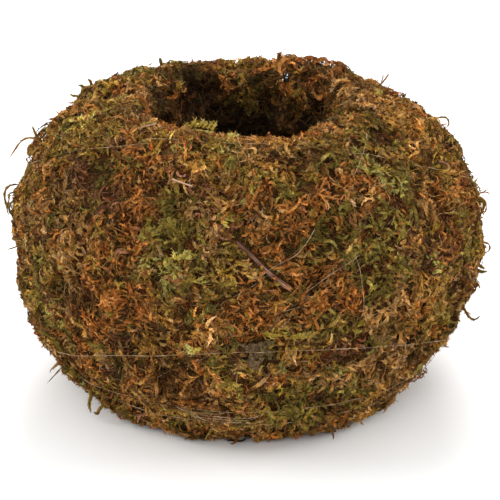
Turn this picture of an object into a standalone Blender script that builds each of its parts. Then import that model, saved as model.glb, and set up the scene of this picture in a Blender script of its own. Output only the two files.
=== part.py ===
"""Kokedama planter: a squat ball of dried moss round a planting hole, bound with nylon thread.

Metres, +Z up. The origin is the middle of the flat spot that the ball rests on. A bearing is an
angle round the ball in degrees: 0 is the front (-Y), 90 the right-hand side (+X).
A station runs over the ball's skin from -1, the edge of the flat spot, through 0, the widest
belt, to 1, the crest of the rim, then to 2, the foot of the rim's inner roll, and to 3, the end
of the moss that hangs down the inside of the hole.
"""

import math
import random
from collections import namedtuple

import bmesh
import bpy
from mathutils import Vector, noise

# Outside of the ball, over the tips of the lying moss shoots
BALL_RADIUS = 0.105
BELT_HEIGHT = 0.077
RIM_HEIGHT = 0.135
RIM_RADIUS = 0.050
BASE_RADIUS = 0.067
UPPER_ROUNDNESS = 1.84
LOWER_ROUNDNESS = 1.69

# Moss turned down into the hole
HOLE_RADIUS = 0.0425
FLAP_END_RADIUS = 0.041
ROLL_DEPTH = 0.013
FLAP_END_HEIGHT = 0.100

# Moss relief, measured down from the skin
LYING_DEPTH = 0.0024
RELIEF_DEPTH = 0.0062
TUFT_SIZE = 0.024
TUFT_DOME = 1.25
CREASE_SIZE = 0.013
CREASE_SHARE = 0.55
INSIDE_RELIEF = 0.3
RELIEF_FULL_ABOVE = -0.7
RELIEF_FADES_FROM = 0.85
RELIEF_FADED_AT = 1.65

# Packed fibre inside the moss
JACKET_THICKNESS = 0.012
CORE_RIM_DROP = 0.0105
CORE_RIM_RADIUS = 0.052
CORE_BASE_RADIUS = 0.059
CORE_FLOOR = 0.0085
CORE_LIP = 0.0065
CAVITY_TOP_RADIUS = 0.047
CAVITY_FOOT_RADIUS = 0.040
CAVITY_FLOOR = 0.028

FILM_THICKNESS = 0.001
FILM_TOP_DROP = 0.002
FIT_GAP = 0.0003
JACKET_GAP = 0.00045

# Shoots of moss, drawn larger than life
SHOOT_SEED = 11
SHOOT_COUNT = 258
SHOOT_SPACING = 0.0125
SHOOT_TRIES = 60
SHOOT_SINK = 0.0090
SINK_EASES_FROM = 0.7
SINK_EASING = 0.62
LEAST_SINK_SHARE = 0.35
SHOOT_LENGTH = (0.018, 0.027)
SHOOT_WIDTH = (0.0056, 0.0086)
SHOOT_LIFT = (0.0, 0.0022)
SHOOT_CURL = 0.5
SHOOT_ARCH = 1.45
SHOOT_FLATNESS = 0.5
ROOT_WIDTH = 0.75
LOWEST_STATION = -0.9
HIGHEST_STATION = 1.75
INNER_SHORTENING = 0.6
FLOOR_CLEARANCE = 0.0004
HOLE_CLEARANCE = 0.0395
SHOOT_TESTS = 13

# Nylon thread, drawn thicker than the real 0.3 mm
THREAD_RADIUS = 0.0004
THREAD_DEPTH = 0.0011
THREAD_POINTS = 30
THREAD_CLEARANCE = 0.0006

# Each turn of thread: bearing of its highest point, highest and lowest station, and how
# sharply it peaks
THREAD_TURNS = (
    (5, -0.20, -0.72, 1.8),
    (-5, 0.93, -0.30, 1.1),
    (90, 0.95, -0.72, 1.0),
    (110, 0.80, -0.60, 1.0),
    (5, -0.53, -0.62, 1.0),
    (185, -0.50, -0.64, 1.0),
    (-80, 0.90, -0.66, 1.0),
)

# Shoots that stand out of the ball: bearing, station, heading, length and lift
STRAY_SHOOTS = (
    (-99, 0.37, 200, 0.024, 0.0085),
    (-89, 0.10, 240, 0.022, 0.0065),
    (-84, -0.10, 300, 0.018, 0.0040),
    (-68, -0.58, 215, 0.022, 0.0070),
    (-50, -0.74, 320, 0.021, 0.0050),
    (90, 0.13, 20, 0.021, 0.0070),
    (82, -0.09, 340, 0.018, 0.0050),
    (80, -0.21, 10, 0.022, 0.0065),
    (76, -0.36, 350, 0.021, 0.0075),
    (-117, 0.64, 150, 0.022, 0.0055),
    (-143, 0.78, 60, 0.018, 0.0040),
    (123, 0.72, 30, 0.020, 0.0060),
    (139, 0.82, 80, 0.024, 0.0060),
    (148, 0.84, 110, 0.024, 0.0065),
    (156, 0.88, 60, 0.022, 0.0060),
    (163, 0.93, 120, 0.020, 0.0045),
    (28, -0.76, 290, 0.019, 0.0045),
    (-4, -0.78, 250, 0.018, 0.0040),
    (-165, -0.30, 200, 0.022, 0.0065),
    (172, 0.25, 20, 0.022, 0.0060),
    (-130, -0.45, 330, 0.021, 0.0060),
    (135, -0.55, 230, 0.021, 0.0060),
)
STRAY_WIDTH = 0.0040
STRAY_SWING = 20

# Twig and torn leaf caught in the front of the moss: bearing and station of each end or middle.
# They lie under the thread, each on a bed of moss pressed to its depth. A tear is a number of
# waves round the leaf's edge, their height as a share of its size, and their phase.
TWIG_ENDS = ((-2.5, 0.35), (10.0, 0.12))
TWIG_RADII = (0.0007, 0.0012)
TWIG_DEPTH = 0.0038
TWIG_POINTS = 9
TWIG_KINK = 0.0006
TWIG_CLEARANCE = 0.0009
LEAF_PLACE = (2.0, -0.245)
LEAF_LENGTH = 0.016
LEAF_WIDTH = 0.011
LEAF_THICKNESS = 0.0007
LEAF_DEPTH = 0.0029
LEAF_TURN = 35
LEAF_POINTS = 26
LEAF_TEARS = ((2, 0.14, 1), (3, 0.10, 2), (7, 0.07, 0), (10, 0.05, 1))
BED_REACH = 0.014

TURN_STEPS = 54
INNER_STEPS = 42
OUTSIDE_POINTS = 23
ROLL_POINTS = 4
HIDDEN_POINTS = 5
MERGE = 0.00001

Shoot = namedtuple("Shoot", "root heading length width lift curl sink")


def belly(station, radius, top, rim, base, floor):
    """Radius and height on a squat ball, whose belt is at the belt height and station 0."""
    turn = abs(station) * math.pi / 2
    if station >= 0:
        power = 2 / UPPER_ROUNDNESS
        across = rim + (radius - rim) * math.cos(turn) ** power
        return across, BELT_HEIGHT + (top - BELT_HEIGHT) * math.sin(turn) ** power
    power = 2 / LOWER_ROUNDNESS
    across = base + (radius - base) * math.cos(turn) ** power
    return across, BELT_HEIGHT + (floor - BELT_HEIGHT) * math.sin(turn) ** power


def skin(station):
    """Radius and height on the moss, over its outside, its rim and its inside flap."""
    if station <= 1:
        return belly(station, BALL_RADIUS, RIM_HEIGHT, RIM_RADIUS, BASE_RADIUS, 0)
    roll_foot = RIM_HEIGHT - ROLL_DEPTH
    if station <= 2:
        turn = (station - 1) * math.pi / 2
        across = RIM_RADIUS - (RIM_RADIUS - HOLE_RADIUS) * math.sin(turn)
        return across, roll_foot + ROLL_DEPTH * math.cos(turn)
    along = station - 2
    across = HOLE_RADIUS + (FLAP_END_RADIUS - HOLE_RADIUS) * along
    return across, roll_foot + (FLAP_END_HEIGHT - roll_foot) * along


def skin_normal(station):
    """Outward normal of the skin, as its radial and its vertical part."""
    step = 0.002
    before = skin(max(station - step, -1))
    after = skin(min(station + step, 3))
    along = Vector((after[0] - before[0], after[1] - before[1])).normalized()
    return along.y, -along.x


def sink_share(station):
    """How deep a shoot's root may sit: less on the rim and in the roll, where moss is thin."""
    eased = SINK_EASING * max(0.0, station - SINK_EASES_FROM)
    return max(LEAST_SINK_SHARE, 1 - eased)


def lumps(point):
    """How far the moss lies below the tops of its tufts at a point, from 0 to 1."""
    tuft = noise.voronoi(point / TUFT_SIZE)[0][0]
    crease = noise.noise(point / CREASE_SIZE)
    return max(0.0, min(1.0, TUFT_DOME * tuft**1.5 + CREASE_SHARE * crease))


def relief_share(station):
    """How much of the moss relief a station takes: none at the flat spot, little in the hole."""
    if station < RELIEF_FADES_FROM:
        return min(1.0, (station + 1) / (RELIEF_FULL_ABOVE + 1))
    inwards = (station - RELIEF_FADES_FROM) / (RELIEF_FADED_AT - RELIEF_FADES_FROM)
    return 1 + (INSIDE_RELIEF - 1) * min(1.0, inwards)


def place(bearing, station, depth=0.0):
    """Point below the skin by a depth, with its outward, sideways and upward directions."""
    angle = math.radians(bearing)
    radial = Vector((math.sin(angle), -math.cos(angle), 0))
    sideways = Vector((math.cos(angle), math.sin(angle), 0))
    across, height = skin(station)
    normal_across, normal_up = skin_normal(station)
    outward = radial * normal_across + Vector((0, 0, normal_up))
    upward = outward.cross(sideways)
    point = radial * across + Vector((0, 0, height)) - outward * depth
    return point, outward, sideways, upward


def material(name, colour, roughness):
    made = bpy.data.materials.new(name)
    made.use_nodes = True
    shader = made.node_tree.nodes["Principled BSDF"]
    shader.inputs["Base Color"].default_value = (*colour, 1)
    shader.inputs["Roughness"].default_value = roughness
    shader.inputs["Metallic"].default_value = 0
    return made


def clear_scene():
    for thing in list(bpy.data.objects):
        bpy.data.objects.remove(thing)


def new_collection(name):
    made = bpy.data.collections.new(name)
    bpy.context.scene.collection.children.link(made)
    return made


def add_object(name, data, collection, finish=None):
    made = bpy.data.objects.new(name, data)
    collection.objects.link(made)
    if finish:
        data.materials.append(finish)
    return made


def turned(name, outline, steps, collection, finish):
    """A profile of (radius, height) points turned round the Z axis."""
    mesh = bpy.data.meshes.new(name)
    links = [(i, i + 1) for i in range(len(outline) - 1)]
    mesh.from_pydata([(across, 0, height) for across, height in outline], links, [])
    made = add_object(name, mesh, collection, finish)
    screw = made.modifiers.new("turn", "SCREW")
    screw.axis = "Z"
    screw.angle = math.tau
    screw.steps = steps
    screw.render_steps = steps
    screw.use_merge_vertices = True
    screw.merge_threshold = MERGE
    screw.use_smooth_shade = True
    return made


def settle(thing):
    """Replace an object's mesh by what its modifiers make of it."""
    bpy.context.view_layer.update()
    graph = bpy.context.evaluated_depsgraph_get()
    made = bpy.data.meshes.new_from_object(thing.evaluated_get(graph))
    thing.modifiers.clear()
    thing.data = made


def fuse(thing, operands):
    """Join every object of a collection to this one, then remove them."""
    union = thing.modifiers.new("fuse", "BOOLEAN")
    union.operation = "UNION"
    union.solver = "MANIFOLD"
    union.operand_type = "COLLECTION"
    union.collection = operands
    settle(thing)
    for operand in list(operands.objects):
        bpy.data.objects.remove(operand)
    bpy.data.collections.remove(operands)


def face_outwards(cage):
    bmesh.ops.recalc_face_normals(cage, faces=cage.faces)
    if cage.calc_volume(signed=True) < 0:
        bmesh.ops.reverse_faces(cage, faces=cage.faces)


def steps_between(first, last, count):
    return [first + (last - first) * i / (count - 1) for i in range(count)]


def cavity_radius(height):
    """Radius of the tapered hole in the fibre at a height."""
    wall_top = RIM_HEIGHT - CORE_RIM_DROP - CORE_LIP
    share = (height - CAVITY_FLOOR) / (wall_top - CAVITY_FLOOR)
    return CAVITY_FOOT_RADIUS + (CAVITY_TOP_RADIUS - CAVITY_FOOT_RADIUS) * share


def core_outside(gap):
    """The fibre's outside from its rim to its underside, moved out by a gap."""
    return [
        belly(
            station,
            BALL_RADIUS - JACKET_THICKNESS + gap,
            RIM_HEIGHT - CORE_RIM_DROP + gap,
            CORE_RIM_RADIUS,
            CORE_BASE_RADIUS,
            CORE_FLOOR - gap,
        )
        for station in steps_between(1, -1, 2 * HIDDEN_POINTS)
    ]


def core_lip(gap_up, foot_radius):
    """The fibre rim's inner quarter round, from the wall of the hole up to the crest."""
    crest = RIM_HEIGHT - CORE_RIM_DROP
    points = []
    for turn in steps_between(math.pi / 2, 0, ROLL_POINTS)[:-1]:
        across = CORE_RIM_RADIUS - (CORE_RIM_RADIUS - foot_radius) * math.sin(turn)
        points.append((across, crest - CORE_LIP + (CORE_LIP + gap_up) * math.cos(turn)))
    return points


def make_core(collection):
    outline = [(0, CAVITY_FLOOR), (CAVITY_FOOT_RADIUS, CAVITY_FLOOR)]
    outline += core_lip(0, CAVITY_TOP_RADIUS)
    outline += core_outside(0)
    outline.append((0, CORE_FLOOR))
    finish = material("packed_fibre", (0.23, 0.13, 0.06), 0.95)
    return turned("fibre_core", outline, INNER_STEPS, collection, finish)


def make_film(collection):
    top = RIM_HEIGHT - CORE_RIM_DROP - CORE_LIP - FILM_TOP_DROP
    floor = CAVITY_FLOOR + FIT_GAP
    outer_foot = CAVITY_FOOT_RADIUS - FIT_GAP
    outer_top = cavity_radius(top) - FIT_GAP
    outline = [
        (0, floor + FILM_THICKNESS),
        (outer_foot - FILM_THICKNESS, floor + FILM_THICKNESS),
        (outer_top - FILM_THICKNESS, top),
        (outer_top, top),
        (outer_foot, floor),
        (0, floor),
    ]
    finish = material("black_film", (0.012, 0.012, 0.013), 0.22)
    return turned("liner_film", outline, INNER_STEPS, collection, finish)


def jacket_outline():
    """The moss from the inside of the jacket, round the flap and rim, to the flat spot.

    It returns the profile and, for each of its points that shows, how the relief moves it.
    """
    film_face = FIT_GAP + FILM_THICKNESS + FIT_GAP
    wall_top = RIM_HEIGHT - CORE_RIM_DROP - CORE_LIP
    flap_back_top = cavity_radius(wall_top) - film_face
    outline = [(0, CORE_FLOOR - JACKET_GAP)]
    outline += core_outside(JACKET_GAP)[::-1]
    outline += core_lip(JACKET_GAP, flap_back_top)[::-1]
    outline.append((cavity_radius(FLAP_END_HEIGHT) - film_face, FLAP_END_HEIGHT))
    stations = [3, 2.5] + steps_between(2, 1, ROLL_POINTS)
    stations += steps_between(1, -1, OUTSIDE_POINTS)[1:]
    moves = {}
    for station in stations:
        across, height = skin(station)
        normal_across, normal_up = skin_normal(station)
        share = relief_share(station)
        across -= normal_across * LYING_DEPTH * share
        height -= normal_up * LYING_DEPTH * share
        outline.append((across, height))
        moves[place_key(across, height)] = (normal_across * share, normal_up * share)
    return outline + [(0, 0)], moves


def place_key(across, height):
    """Radius and height in whole hundredths of a millimetre."""
    return round(across * 1e5), round(height * 1e5)


def bed_depths(twig, leaf):
    """Where the relief is pressed to one depth: a chain of points, how far from it, the depth."""
    under_twig = TWIG_DEPTH + TWIG_RADII[1] + FIT_GAP
    under_leaf = LEAF_DEPTH + LEAF_THICKNESS / 2 + FIT_GAP
    leaf_reach = BED_REACH + LEAF_LENGTH / 2
    return [(twig, BED_REACH, under_twig), (leaf, leaf_reach, under_leaf)]


def press_relief(jacket, moves, beds):
    """Push the moss in between its tufts, along the skin's normal."""
    for vertex in jacket.data.vertices:
        across = math.hypot(vertex.co.x, vertex.co.y)
        move = moves.get(place_key(across, vertex.co.z))
        if not move:
            continue
        depth = RELIEF_DEPTH * lumps(vertex.co)
        for line, reach, pressed in beds:
            if gap_to_line(vertex.co, line, False) < reach:
                depth = pressed - LYING_DEPTH
        radial = Vector((vertex.co.x, vertex.co.y, 0)) / across
        vertex.co -= (radial * move[0] + Vector((0, 0, move[1]))) * depth


def thread_route(turn):
    """Points of one turn of thread, a little under the skin."""
    bearing_of_peak, highest, lowest, sharpness = turn
    points = []
    for i in range(THREAD_POINTS):
        bearing = 360 * i / THREAD_POINTS
        share = (0.5 + 0.5 * math.cos(math.radians(bearing - bearing_of_peak))) ** sharpness
        station = lowest + (highest - lowest) * share
        points.append(place(bearing, station, THREAD_DEPTH)[0])
    return points


def tube(name, points, radii, closed, sides_step, collection):
    """A round wire through the points, as a closed mesh."""
    curve = bpy.data.curves.new(name, "CURVE")
    curve.dimensions = "3D"
    curve.bevel_depth = 1
    curve.bevel_resolution = sides_step
    curve.use_fill_caps = not closed
    spline = curve.splines.new("POLY")
    spline.points.add(len(points) - 1)
    spline.use_cyclic_u = closed
    for bead, point, radius in zip(spline.points, points, radii):
        bead.co = (*point, 1)
        bead.radius = radius
    line = add_object(name + "_line", curve, collection)
    bpy.context.view_layer.update()
    graph = bpy.context.evaluated_depsgraph_get()
    mesh = bpy.data.meshes.new_from_object(line.evaluated_get(graph))
    bpy.data.objects.remove(line)
    cage = bmesh.new()
    cage.from_mesh(mesh)
    bmesh.ops.remove_doubles(cage, verts=cage.verts, dist=MERGE)
    face_outwards(cage)
    cage.to_mesh(mesh)
    cage.free()
    mesh.shade_smooth()
    return add_object(name, mesh, collection)


def make_thread(collection):
    """Turns of thread, each a closed loop, joined where they cross."""
    routes = [thread_route(turn) for turn in THREAD_TURNS]
    turns = new_collection("thread_turns")
    radii = [THREAD_RADIUS] * THREAD_POINTS
    first = tube("binding_thread", routes[0], radii, True, 0, collection)
    first.data.materials.append(material("clear_nylon", (0.78, 0.77, 0.72), 0.2))
    for number, route in enumerate(routes[1:], 2):
        tube(f"turn_{number}", route, radii, True, 0, turns)
    fuse(first, turns)
    return routes


def gap_to_line(point, line, closed):
    """Distance from a point to a chain of straight runs."""
    best = 1.0
    for i in range(len(line) if closed else len(line) - 1):
        start = line[i]
        run = line[(i + 1) % len(line)] - start
        share = max(0.0, min(1.0, (point - start).dot(run) / run.length_squared))
        best = min(best, (point - start - run * share).length)
    return best


def twig_line():
    (bearing_a, station_a), (bearing_b, station_b) = TWIG_ENDS
    start, outward, _, _ = place(bearing_a, station_a, TWIG_DEPTH)
    end = place(bearing_b, station_b, TWIG_DEPTH)[0]
    side = (end - start).normalized().cross(outward)
    points = []
    for share in steps_between(0, 1, TWIG_POINTS):
        kink = math.sin(share * 2.2 * math.pi) * TWIG_KINK
        lift = math.sin(share * math.pi) * TWIG_KINK * 2
        points.append(start.lerp(end, share) + side * kink + outward * lift)
    return points


def make_twig(collection):
    points = twig_line()
    radii = steps_between(TWIG_RADII[0], TWIG_RADII[1], TWIG_POINTS)
    twig = tube("twig", points, radii, False, 1, collection)
    twig.data.materials.append(material("twig_bark", (0.30, 0.15, 0.10), 0.8))
    return points


def make_leaf(collection):
    """A thin torn outline, extruded, then laid on the curve of the ball."""
    curve = bpy.data.curves.new("leaf_outline", "CURVE")
    curve.dimensions = "2D"
    curve.fill_mode = "BOTH"
    curve.extrude = LEAF_THICKNESS / 2
    spline = curve.splines.new("POLY")
    spline.points.add(LEAF_POINTS - 1)
    spline.use_cyclic_u = True
    for i, bead in enumerate(spline.points):
        angle = math.tau * i / LEAF_POINTS
        torn = 1 + sum(high * math.sin(waves * angle + phase) for waves, high, phase in LEAF_TEARS)
        across = LEAF_WIDTH / 2 * math.cos(angle) * torn
        bead.co = (across, LEAF_LENGTH / 2 * math.sin(angle) * torn, 0, 1)
    flat = add_object("leaf_flat", curve, collection)
    bpy.context.view_layer.update()
    graph = bpy.context.evaluated_depsgraph_get()
    mesh = bpy.data.meshes.new_from_object(flat.evaluated_get(graph))
    bpy.data.objects.remove(flat)
    cage = bmesh.new()
    cage.from_mesh(mesh)
    bmesh.ops.remove_doubles(cage, verts=cage.verts, dist=MERGE)
    bmesh.ops.triangulate(cage, faces=cage.faces)
    middle, outward, sideways, upward = place(*LEAF_PLACE, LEAF_DEPTH)
    turn = math.radians(LEAF_TURN)
    for vertex in cage.verts:
        across = vertex.co.x * math.cos(turn) - vertex.co.y * math.sin(turn)
        along = vertex.co.x * math.sin(turn) + vertex.co.y * math.cos(turn)
        sag = (across**2 + along**2) / (2 * BALL_RADIUS)
        lift = vertex.co.z - sag
        vertex.co = middle + sideways * across + upward * along + outward * lift
    face_outwards(cage)
    cage.to_mesh(mesh)
    cage.free()
    leaf = add_object("leaf_fragment", mesh, collection)
    leaf.data.materials.append(material("dead_leaf", (0.13, 0.11, 0.09), 0.9))
    return middle


def shoot_width(share):
    """Width of a shoot along it, as a part of its full width halfway."""
    if share < 0.5:
        return ROOT_WIDTH + (1 - ROOT_WIDTH) * share * 2
    return 2 - share * 2


def shoot_middle(shoot, share):
    """Middle line of a shoot, from its sunk root over its arch to its tip."""
    point, outward, sideways, upward = shoot.root
    along = sideways * math.cos(shoot.heading) + upward * math.sin(shoot.heading)
    aside = outward.cross(along)
    arch = math.sin(min(1.0, share * SHOOT_ARCH) * math.pi / 2)
    rise = (shoot.sink + shoot.lift) * arch - shoot.sink
    droop = (shoot.length * share) ** 2 / (2 * BALL_RADIUS)
    run = along * share + aside * (shoot.curl * share**2)
    return point + run * shoot.length + outward * (rise - droop)


def add_shoot(name, shoot, collection):
    """A three-sided shoot, bent along its middle line."""
    cage = bmesh.new()
    bmesh.ops.create_cone(cage, cap_ends=True, segments=3, radius1=1, radius2=0, depth=1)
    bmesh.ops.remove_doubles(cage, verts=cage.verts, dist=MERGE)
    sides = [edge for edge in cage.edges if abs(edge.verts[0].co.z - edge.verts[1].co.z) > 0.5]
    bmesh.ops.subdivide_edges(cage, edges=sides, cuts=1)
    bmesh.ops.triangulate(cage, faces=cage.faces)
    outward = shoot.root[1]
    for vertex in cage.verts:
        share = vertex.co.z + 0.5
        here = shoot_middle(shoot, share)
        run = (shoot_middle(shoot, share + 0.02) - here).normalized()
        aside = outward.cross(run).normalized()
        ridge = run.cross(aside)
        taper = max(1 - share, MERGE)
        half = shoot.width / 2 * shoot_width(share) / taper
        offset = aside * vertex.co.x + ridge * (vertex.co.y * SHOOT_FLATNESS)
        vertex.co = here + offset * half
    face_outwards(cage)
    mesh = bpy.data.meshes.new(name)
    cage.to_mesh(mesh)
    cage.free()
    return add_object(name, mesh, collection)


def draw_shoot(chance):
    """One lying shoot at a place that is as likely as any other on the skin."""
    step = 0.01
    most_area = BALL_RADIUS * BALL_RADIUS
    while True:
        station = chance.uniform(LOWEST_STATION, HIGHEST_STATION)
        run = math.dist(skin(station - step), skin(station + step)) / (2 * step)
        if chance.random() < skin(station)[0] * run / most_area:
            break
    shortening = INNER_SHORTENING if station > 1 else 1
    sink = SHOOT_SINK * sink_share(station)
    length = chance.uniform(*SHOOT_LENGTH) * shortening
    width = chance.uniform(*SHOOT_WIDTH) * shortening
    lift = chance.uniform(*SHOOT_LIFT) * shortening
    curl = chance.uniform(-SHOOT_CURL, SHOOT_CURL)
    heading = chance.uniform(0, math.tau)
    root = place(chance.uniform(-180, 180), station)
    return Shoot(root, heading, length, width, lift, curl, sink)


def clear_of(shoot, guides):
    """Whether a shoot keeps clear of the floor, the hole, the thread, the twig and the leaf."""
    root, knee, tip = (shoot_middle(shoot, share) for share in (0, 0.5, 1))
    for share in steps_between(0, 1, SHOOT_TESTS):
        if share < 0.5:
            point = root.lerp(knee, share * 2)
        else:
            point = knee.lerp(tip, share * 2 - 1)
        half = shoot.width / 2 * shoot_width(share)
        if point.z < half * SHOOT_FLATNESS + FLOOR_CLEARANCE:
            return False
        if math.hypot(point.x, point.y) - half < HOLE_CLEARANCE:
            return False
        for line, closed, clearance in guides:
            if gap_to_line(point, line, closed) < half + clearance:
                return False
    return True


def grow_shoots(jacket, guides):
    """Strays first, each swung round to a clear heading, then lying shoots evenly spaced."""
    chance = random.Random(SHOOT_SEED)
    shoots = new_collection("moss_shoots")
    grown = []
    for bearing, station, heading, length, lift in STRAY_SHOOTS:
        curl = chance.uniform(-SHOOT_CURL, SHOOT_CURL)
        sink = SHOOT_SINK * sink_share(station)
        root = place(bearing, station)
        for swing in range(0, 360, STRAY_SWING):
            turned_to = math.radians(heading + swing)
            shoot = Shoot(root, turned_to, length, STRAY_WIDTH, lift, curl, sink)
            if clear_of(shoot, guides):
                grown.append(shoot)
                break
    middles = []
    for _ in range(SHOOT_COUNT * SHOOT_TRIES):
        if len(grown) >= SHOOT_COUNT:
            break
        shoot = draw_shoot(chance)
        middle = shoot_middle(shoot, 0.6)
        if any((middle - other).length < SHOOT_SPACING for other in middles):
            continue
        if clear_of(shoot, guides):
            grown.append(shoot)
            middles.append(middle)
    for number, shoot in enumerate(grown):
        add_shoot(f"shoot_{number}", shoot, shoots)
    fuse(jacket, shoots)


def make_jacket(collection, guides, beds):
    outline, moves = jacket_outline()
    finish = material("dried_moss", (0.20, 0.14, 0.04), 0.95)
    jacket = turned("moss_jacket", outline, TURN_STEPS, collection, finish)
    settle(jacket)
    press_relief(jacket, moves, beds)
    grow_shoots(jacket, guides)
    jacket.data.shade_flat()
    return jacket


def build():
    clear_scene()
    collection = new_collection("kokedama")
    make_core(collection)
    make_film(collection)
    routes = make_thread(collection)
    twig = make_twig(collection)
    middle = make_leaf(collection)
    leaf = [middle, middle + Vector((0, 0, MERGE))]
    reach = THREAD_RADIUS + THREAD_CLEARANCE
    guides = [(route, True, reach) for route in routes]
    guides.append((twig, False, TWIG_RADII[1] + TWIG_CLEARANCE))
    guides.append((leaf, False, LEAF_LENGTH / 2))
    make_jacket(collection, guides, bed_depths(twig, leaf))


build()
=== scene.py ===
"""Kokedama planter, finished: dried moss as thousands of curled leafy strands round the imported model.

Metres, +Z up, in the model's own frame. A bearing is an angle round the ball: 0 is the front (-Y),
and it grows towards the right-hand side (+X). Travel is the distance over the skin of the moss from
the middle of the underside, out over the flat spot, up the outside, over the rim and down the hole.
A station is the model's own measure over the skin: -2 the middle of the underside, -1 the edge of
the flat spot, 0 the widest belt, 1 the crest of the rim, 2 the foot of its inner roll, 3 the end of
the moss in the hole.
"""

import math
from types import SimpleNamespace

import bpy
import numpy as np
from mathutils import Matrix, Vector, noise


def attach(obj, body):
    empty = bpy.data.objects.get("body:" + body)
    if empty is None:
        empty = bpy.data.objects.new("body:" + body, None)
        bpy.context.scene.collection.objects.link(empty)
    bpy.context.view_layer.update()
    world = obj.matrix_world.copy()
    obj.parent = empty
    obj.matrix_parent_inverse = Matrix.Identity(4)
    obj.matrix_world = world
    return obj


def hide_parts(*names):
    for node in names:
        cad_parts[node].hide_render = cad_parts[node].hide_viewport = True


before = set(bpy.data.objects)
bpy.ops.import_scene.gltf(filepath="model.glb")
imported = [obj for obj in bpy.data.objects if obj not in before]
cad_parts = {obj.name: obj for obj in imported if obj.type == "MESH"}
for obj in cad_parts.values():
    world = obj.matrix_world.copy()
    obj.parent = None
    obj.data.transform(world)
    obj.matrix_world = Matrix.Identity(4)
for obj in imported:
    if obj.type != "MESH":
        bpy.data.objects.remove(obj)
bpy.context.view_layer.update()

# Form of the ball, as in the model
BALL_RADIUS = 0.105
BELT_HEIGHT = 0.077
RIM_HEIGHT = 0.135
RIM_RADIUS = 0.050
BASE_RADIUS = 0.067
UPPER_ROUNDNESS = 1.84
LOWER_ROUNDNESS = 1.69
HOLE_RADIUS = 0.0425
FLAP_END_RADIUS = 0.041
ROLL_DEPTH = 0.013
FLAP_END_HEIGHT = 0.100

# Relief of the moss, as in the model
RELIEF_DEPTH = 0.0062
TUFT_SIZE = 0.024
TUFT_DOME = 1.25
CREASE_SIZE = 0.013
CREASE_SHARE = 0.55
INSIDE_RELIEF = 0.3
RELIEF_FULL_ABOVE = -0.7
RELIEF_FADES_FROM = 0.85
RELIEF_FADED_AT = 1.65
RELIEF_SHARE = 0.75
GROOVE_DEPTH = 0.0012
GROOVE_WIDTH = 0.0025

# Thread, twig and leaf, as in the model. A turn of thread is given by the bearing of its peak, its
# highest and lowest station, and how sharp its peak is
THREAD_TURNS = (
    (5, -0.20, -0.72, 1.8),
    (-5, 0.93, -0.30, 1.1),
    (90, 0.95, -0.72, 1.0),
    (110, 0.80, -0.60, 1.0),
    (5, -0.53, -0.62, 1.0),
    (185, -0.50, -0.64, 1.0),
    (-80, 0.90, -0.66, 1.0),
)
TWIG_ENDS = ((-2.5, 0.35), (10.0, 0.12))
TWIG_RISE = -0.0016
TWIG_BED = 0.0024
LEAF_PLACE = (2.0, -0.245)
LEAF_RISE = -0.0010
LEAF_SHIFT = 0.0022

# Tufts that stand out of the ball, or lie back: bearing, and height, reach and how far in millimetres
SWELLINGS = (
    (158, 135, 5.5, 6.4), (148, 134.5, 7, 2.0), (138, 134, 7, 1.2), (116, 133.5, 13, -3.4),
    (100, 133.5, 9, -1.4), (172, 134.5, 9, -5.2), (-178, 135, 10, -4.2), (-163, 135, 12, -2.8),
    (-142, 134.5, 12, -0.8), (-121, 133.5, 12, 5.2), (-117, 125, 9, 2.2), (-99, 105, 10, 1.2),
    (85, 85, 8, 2.2), (80, 66, 14, 2.2), (76, 48, 14, 2.8), (-75, 36, 18, 2.6), (-64, 20, 18, 3.2),
    (50, 8, 12, 1.2), (-26, 134.5, 10, 5.2), (-36, 7, 16, 0.4), (0, 4, 14, 1.4), (19, 5, 16, 0.4),
)

# Lumps on the inside wall, from noise: its size, how far they stand out, how much lighter they are
# painted (painted light on the lumps, painted shade between them) and what is added to it. Then the
# station where they start, the one where they are full, over how much of a station they fade at the
# end, and the number of the noise
INSIDE_LUMP_SIZE = 0.011
INSIDE_LUMP_DEPTH = 0.0055
INSIDE_LUMP_SHADE = 1.9
INSIDE_LUMP_LEVEL = 0.12
LUMPS_FROM = 1.1
LUMPS_FULL = 1.7
LUMPS_FADE = 0.3
LUMP_NUMBER = 51

# Camera: the photograph's view, worked out from its outline
TARGET_HEIGHT = 0.077
CAMERA_DISTANCE = 1.26
CAMERA_ELEVATION = 22.14
CAMERA_LENS = 202.0
SENSOR_WIDTH = 36.0
SHIFT_RIGHT = 0.0074
SHIFT_UP = -0.0658

SEED = 7
# How far apart the tufts stand, on the ball and under it, and how far off the floor they stay
TUFT_SPACING = 0.0048
UNDERSIDE_SPACING = 0.0085
FLOOR_GAP = 0.0003
# At how many stations the skin is worked out
SKIN_STEPS = 4001


def belly(station):
    """Radius and height of the skin from the flat spot's edge to the crest of the rim."""
    turn = np.abs(station) * math.pi / 2
    upper = station >= 0
    power = np.where(upper, 2 / UPPER_ROUNDNESS, 2 / LOWER_ROUNDNESS)
    end_radius = np.where(upper, RIM_RADIUS, BASE_RADIUS)
    end_height = np.where(upper, RIM_HEIGHT, 0.0)
    cosine = np.clip(np.cos(turn), 0, 1) ** power
    sine = np.clip(np.sin(turn), 0, 1) ** power
    across = end_radius + (BALL_RADIUS - end_radius) * cosine
    return across, BELT_HEIGHT + (end_height - BELT_HEIGHT) * sine


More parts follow.
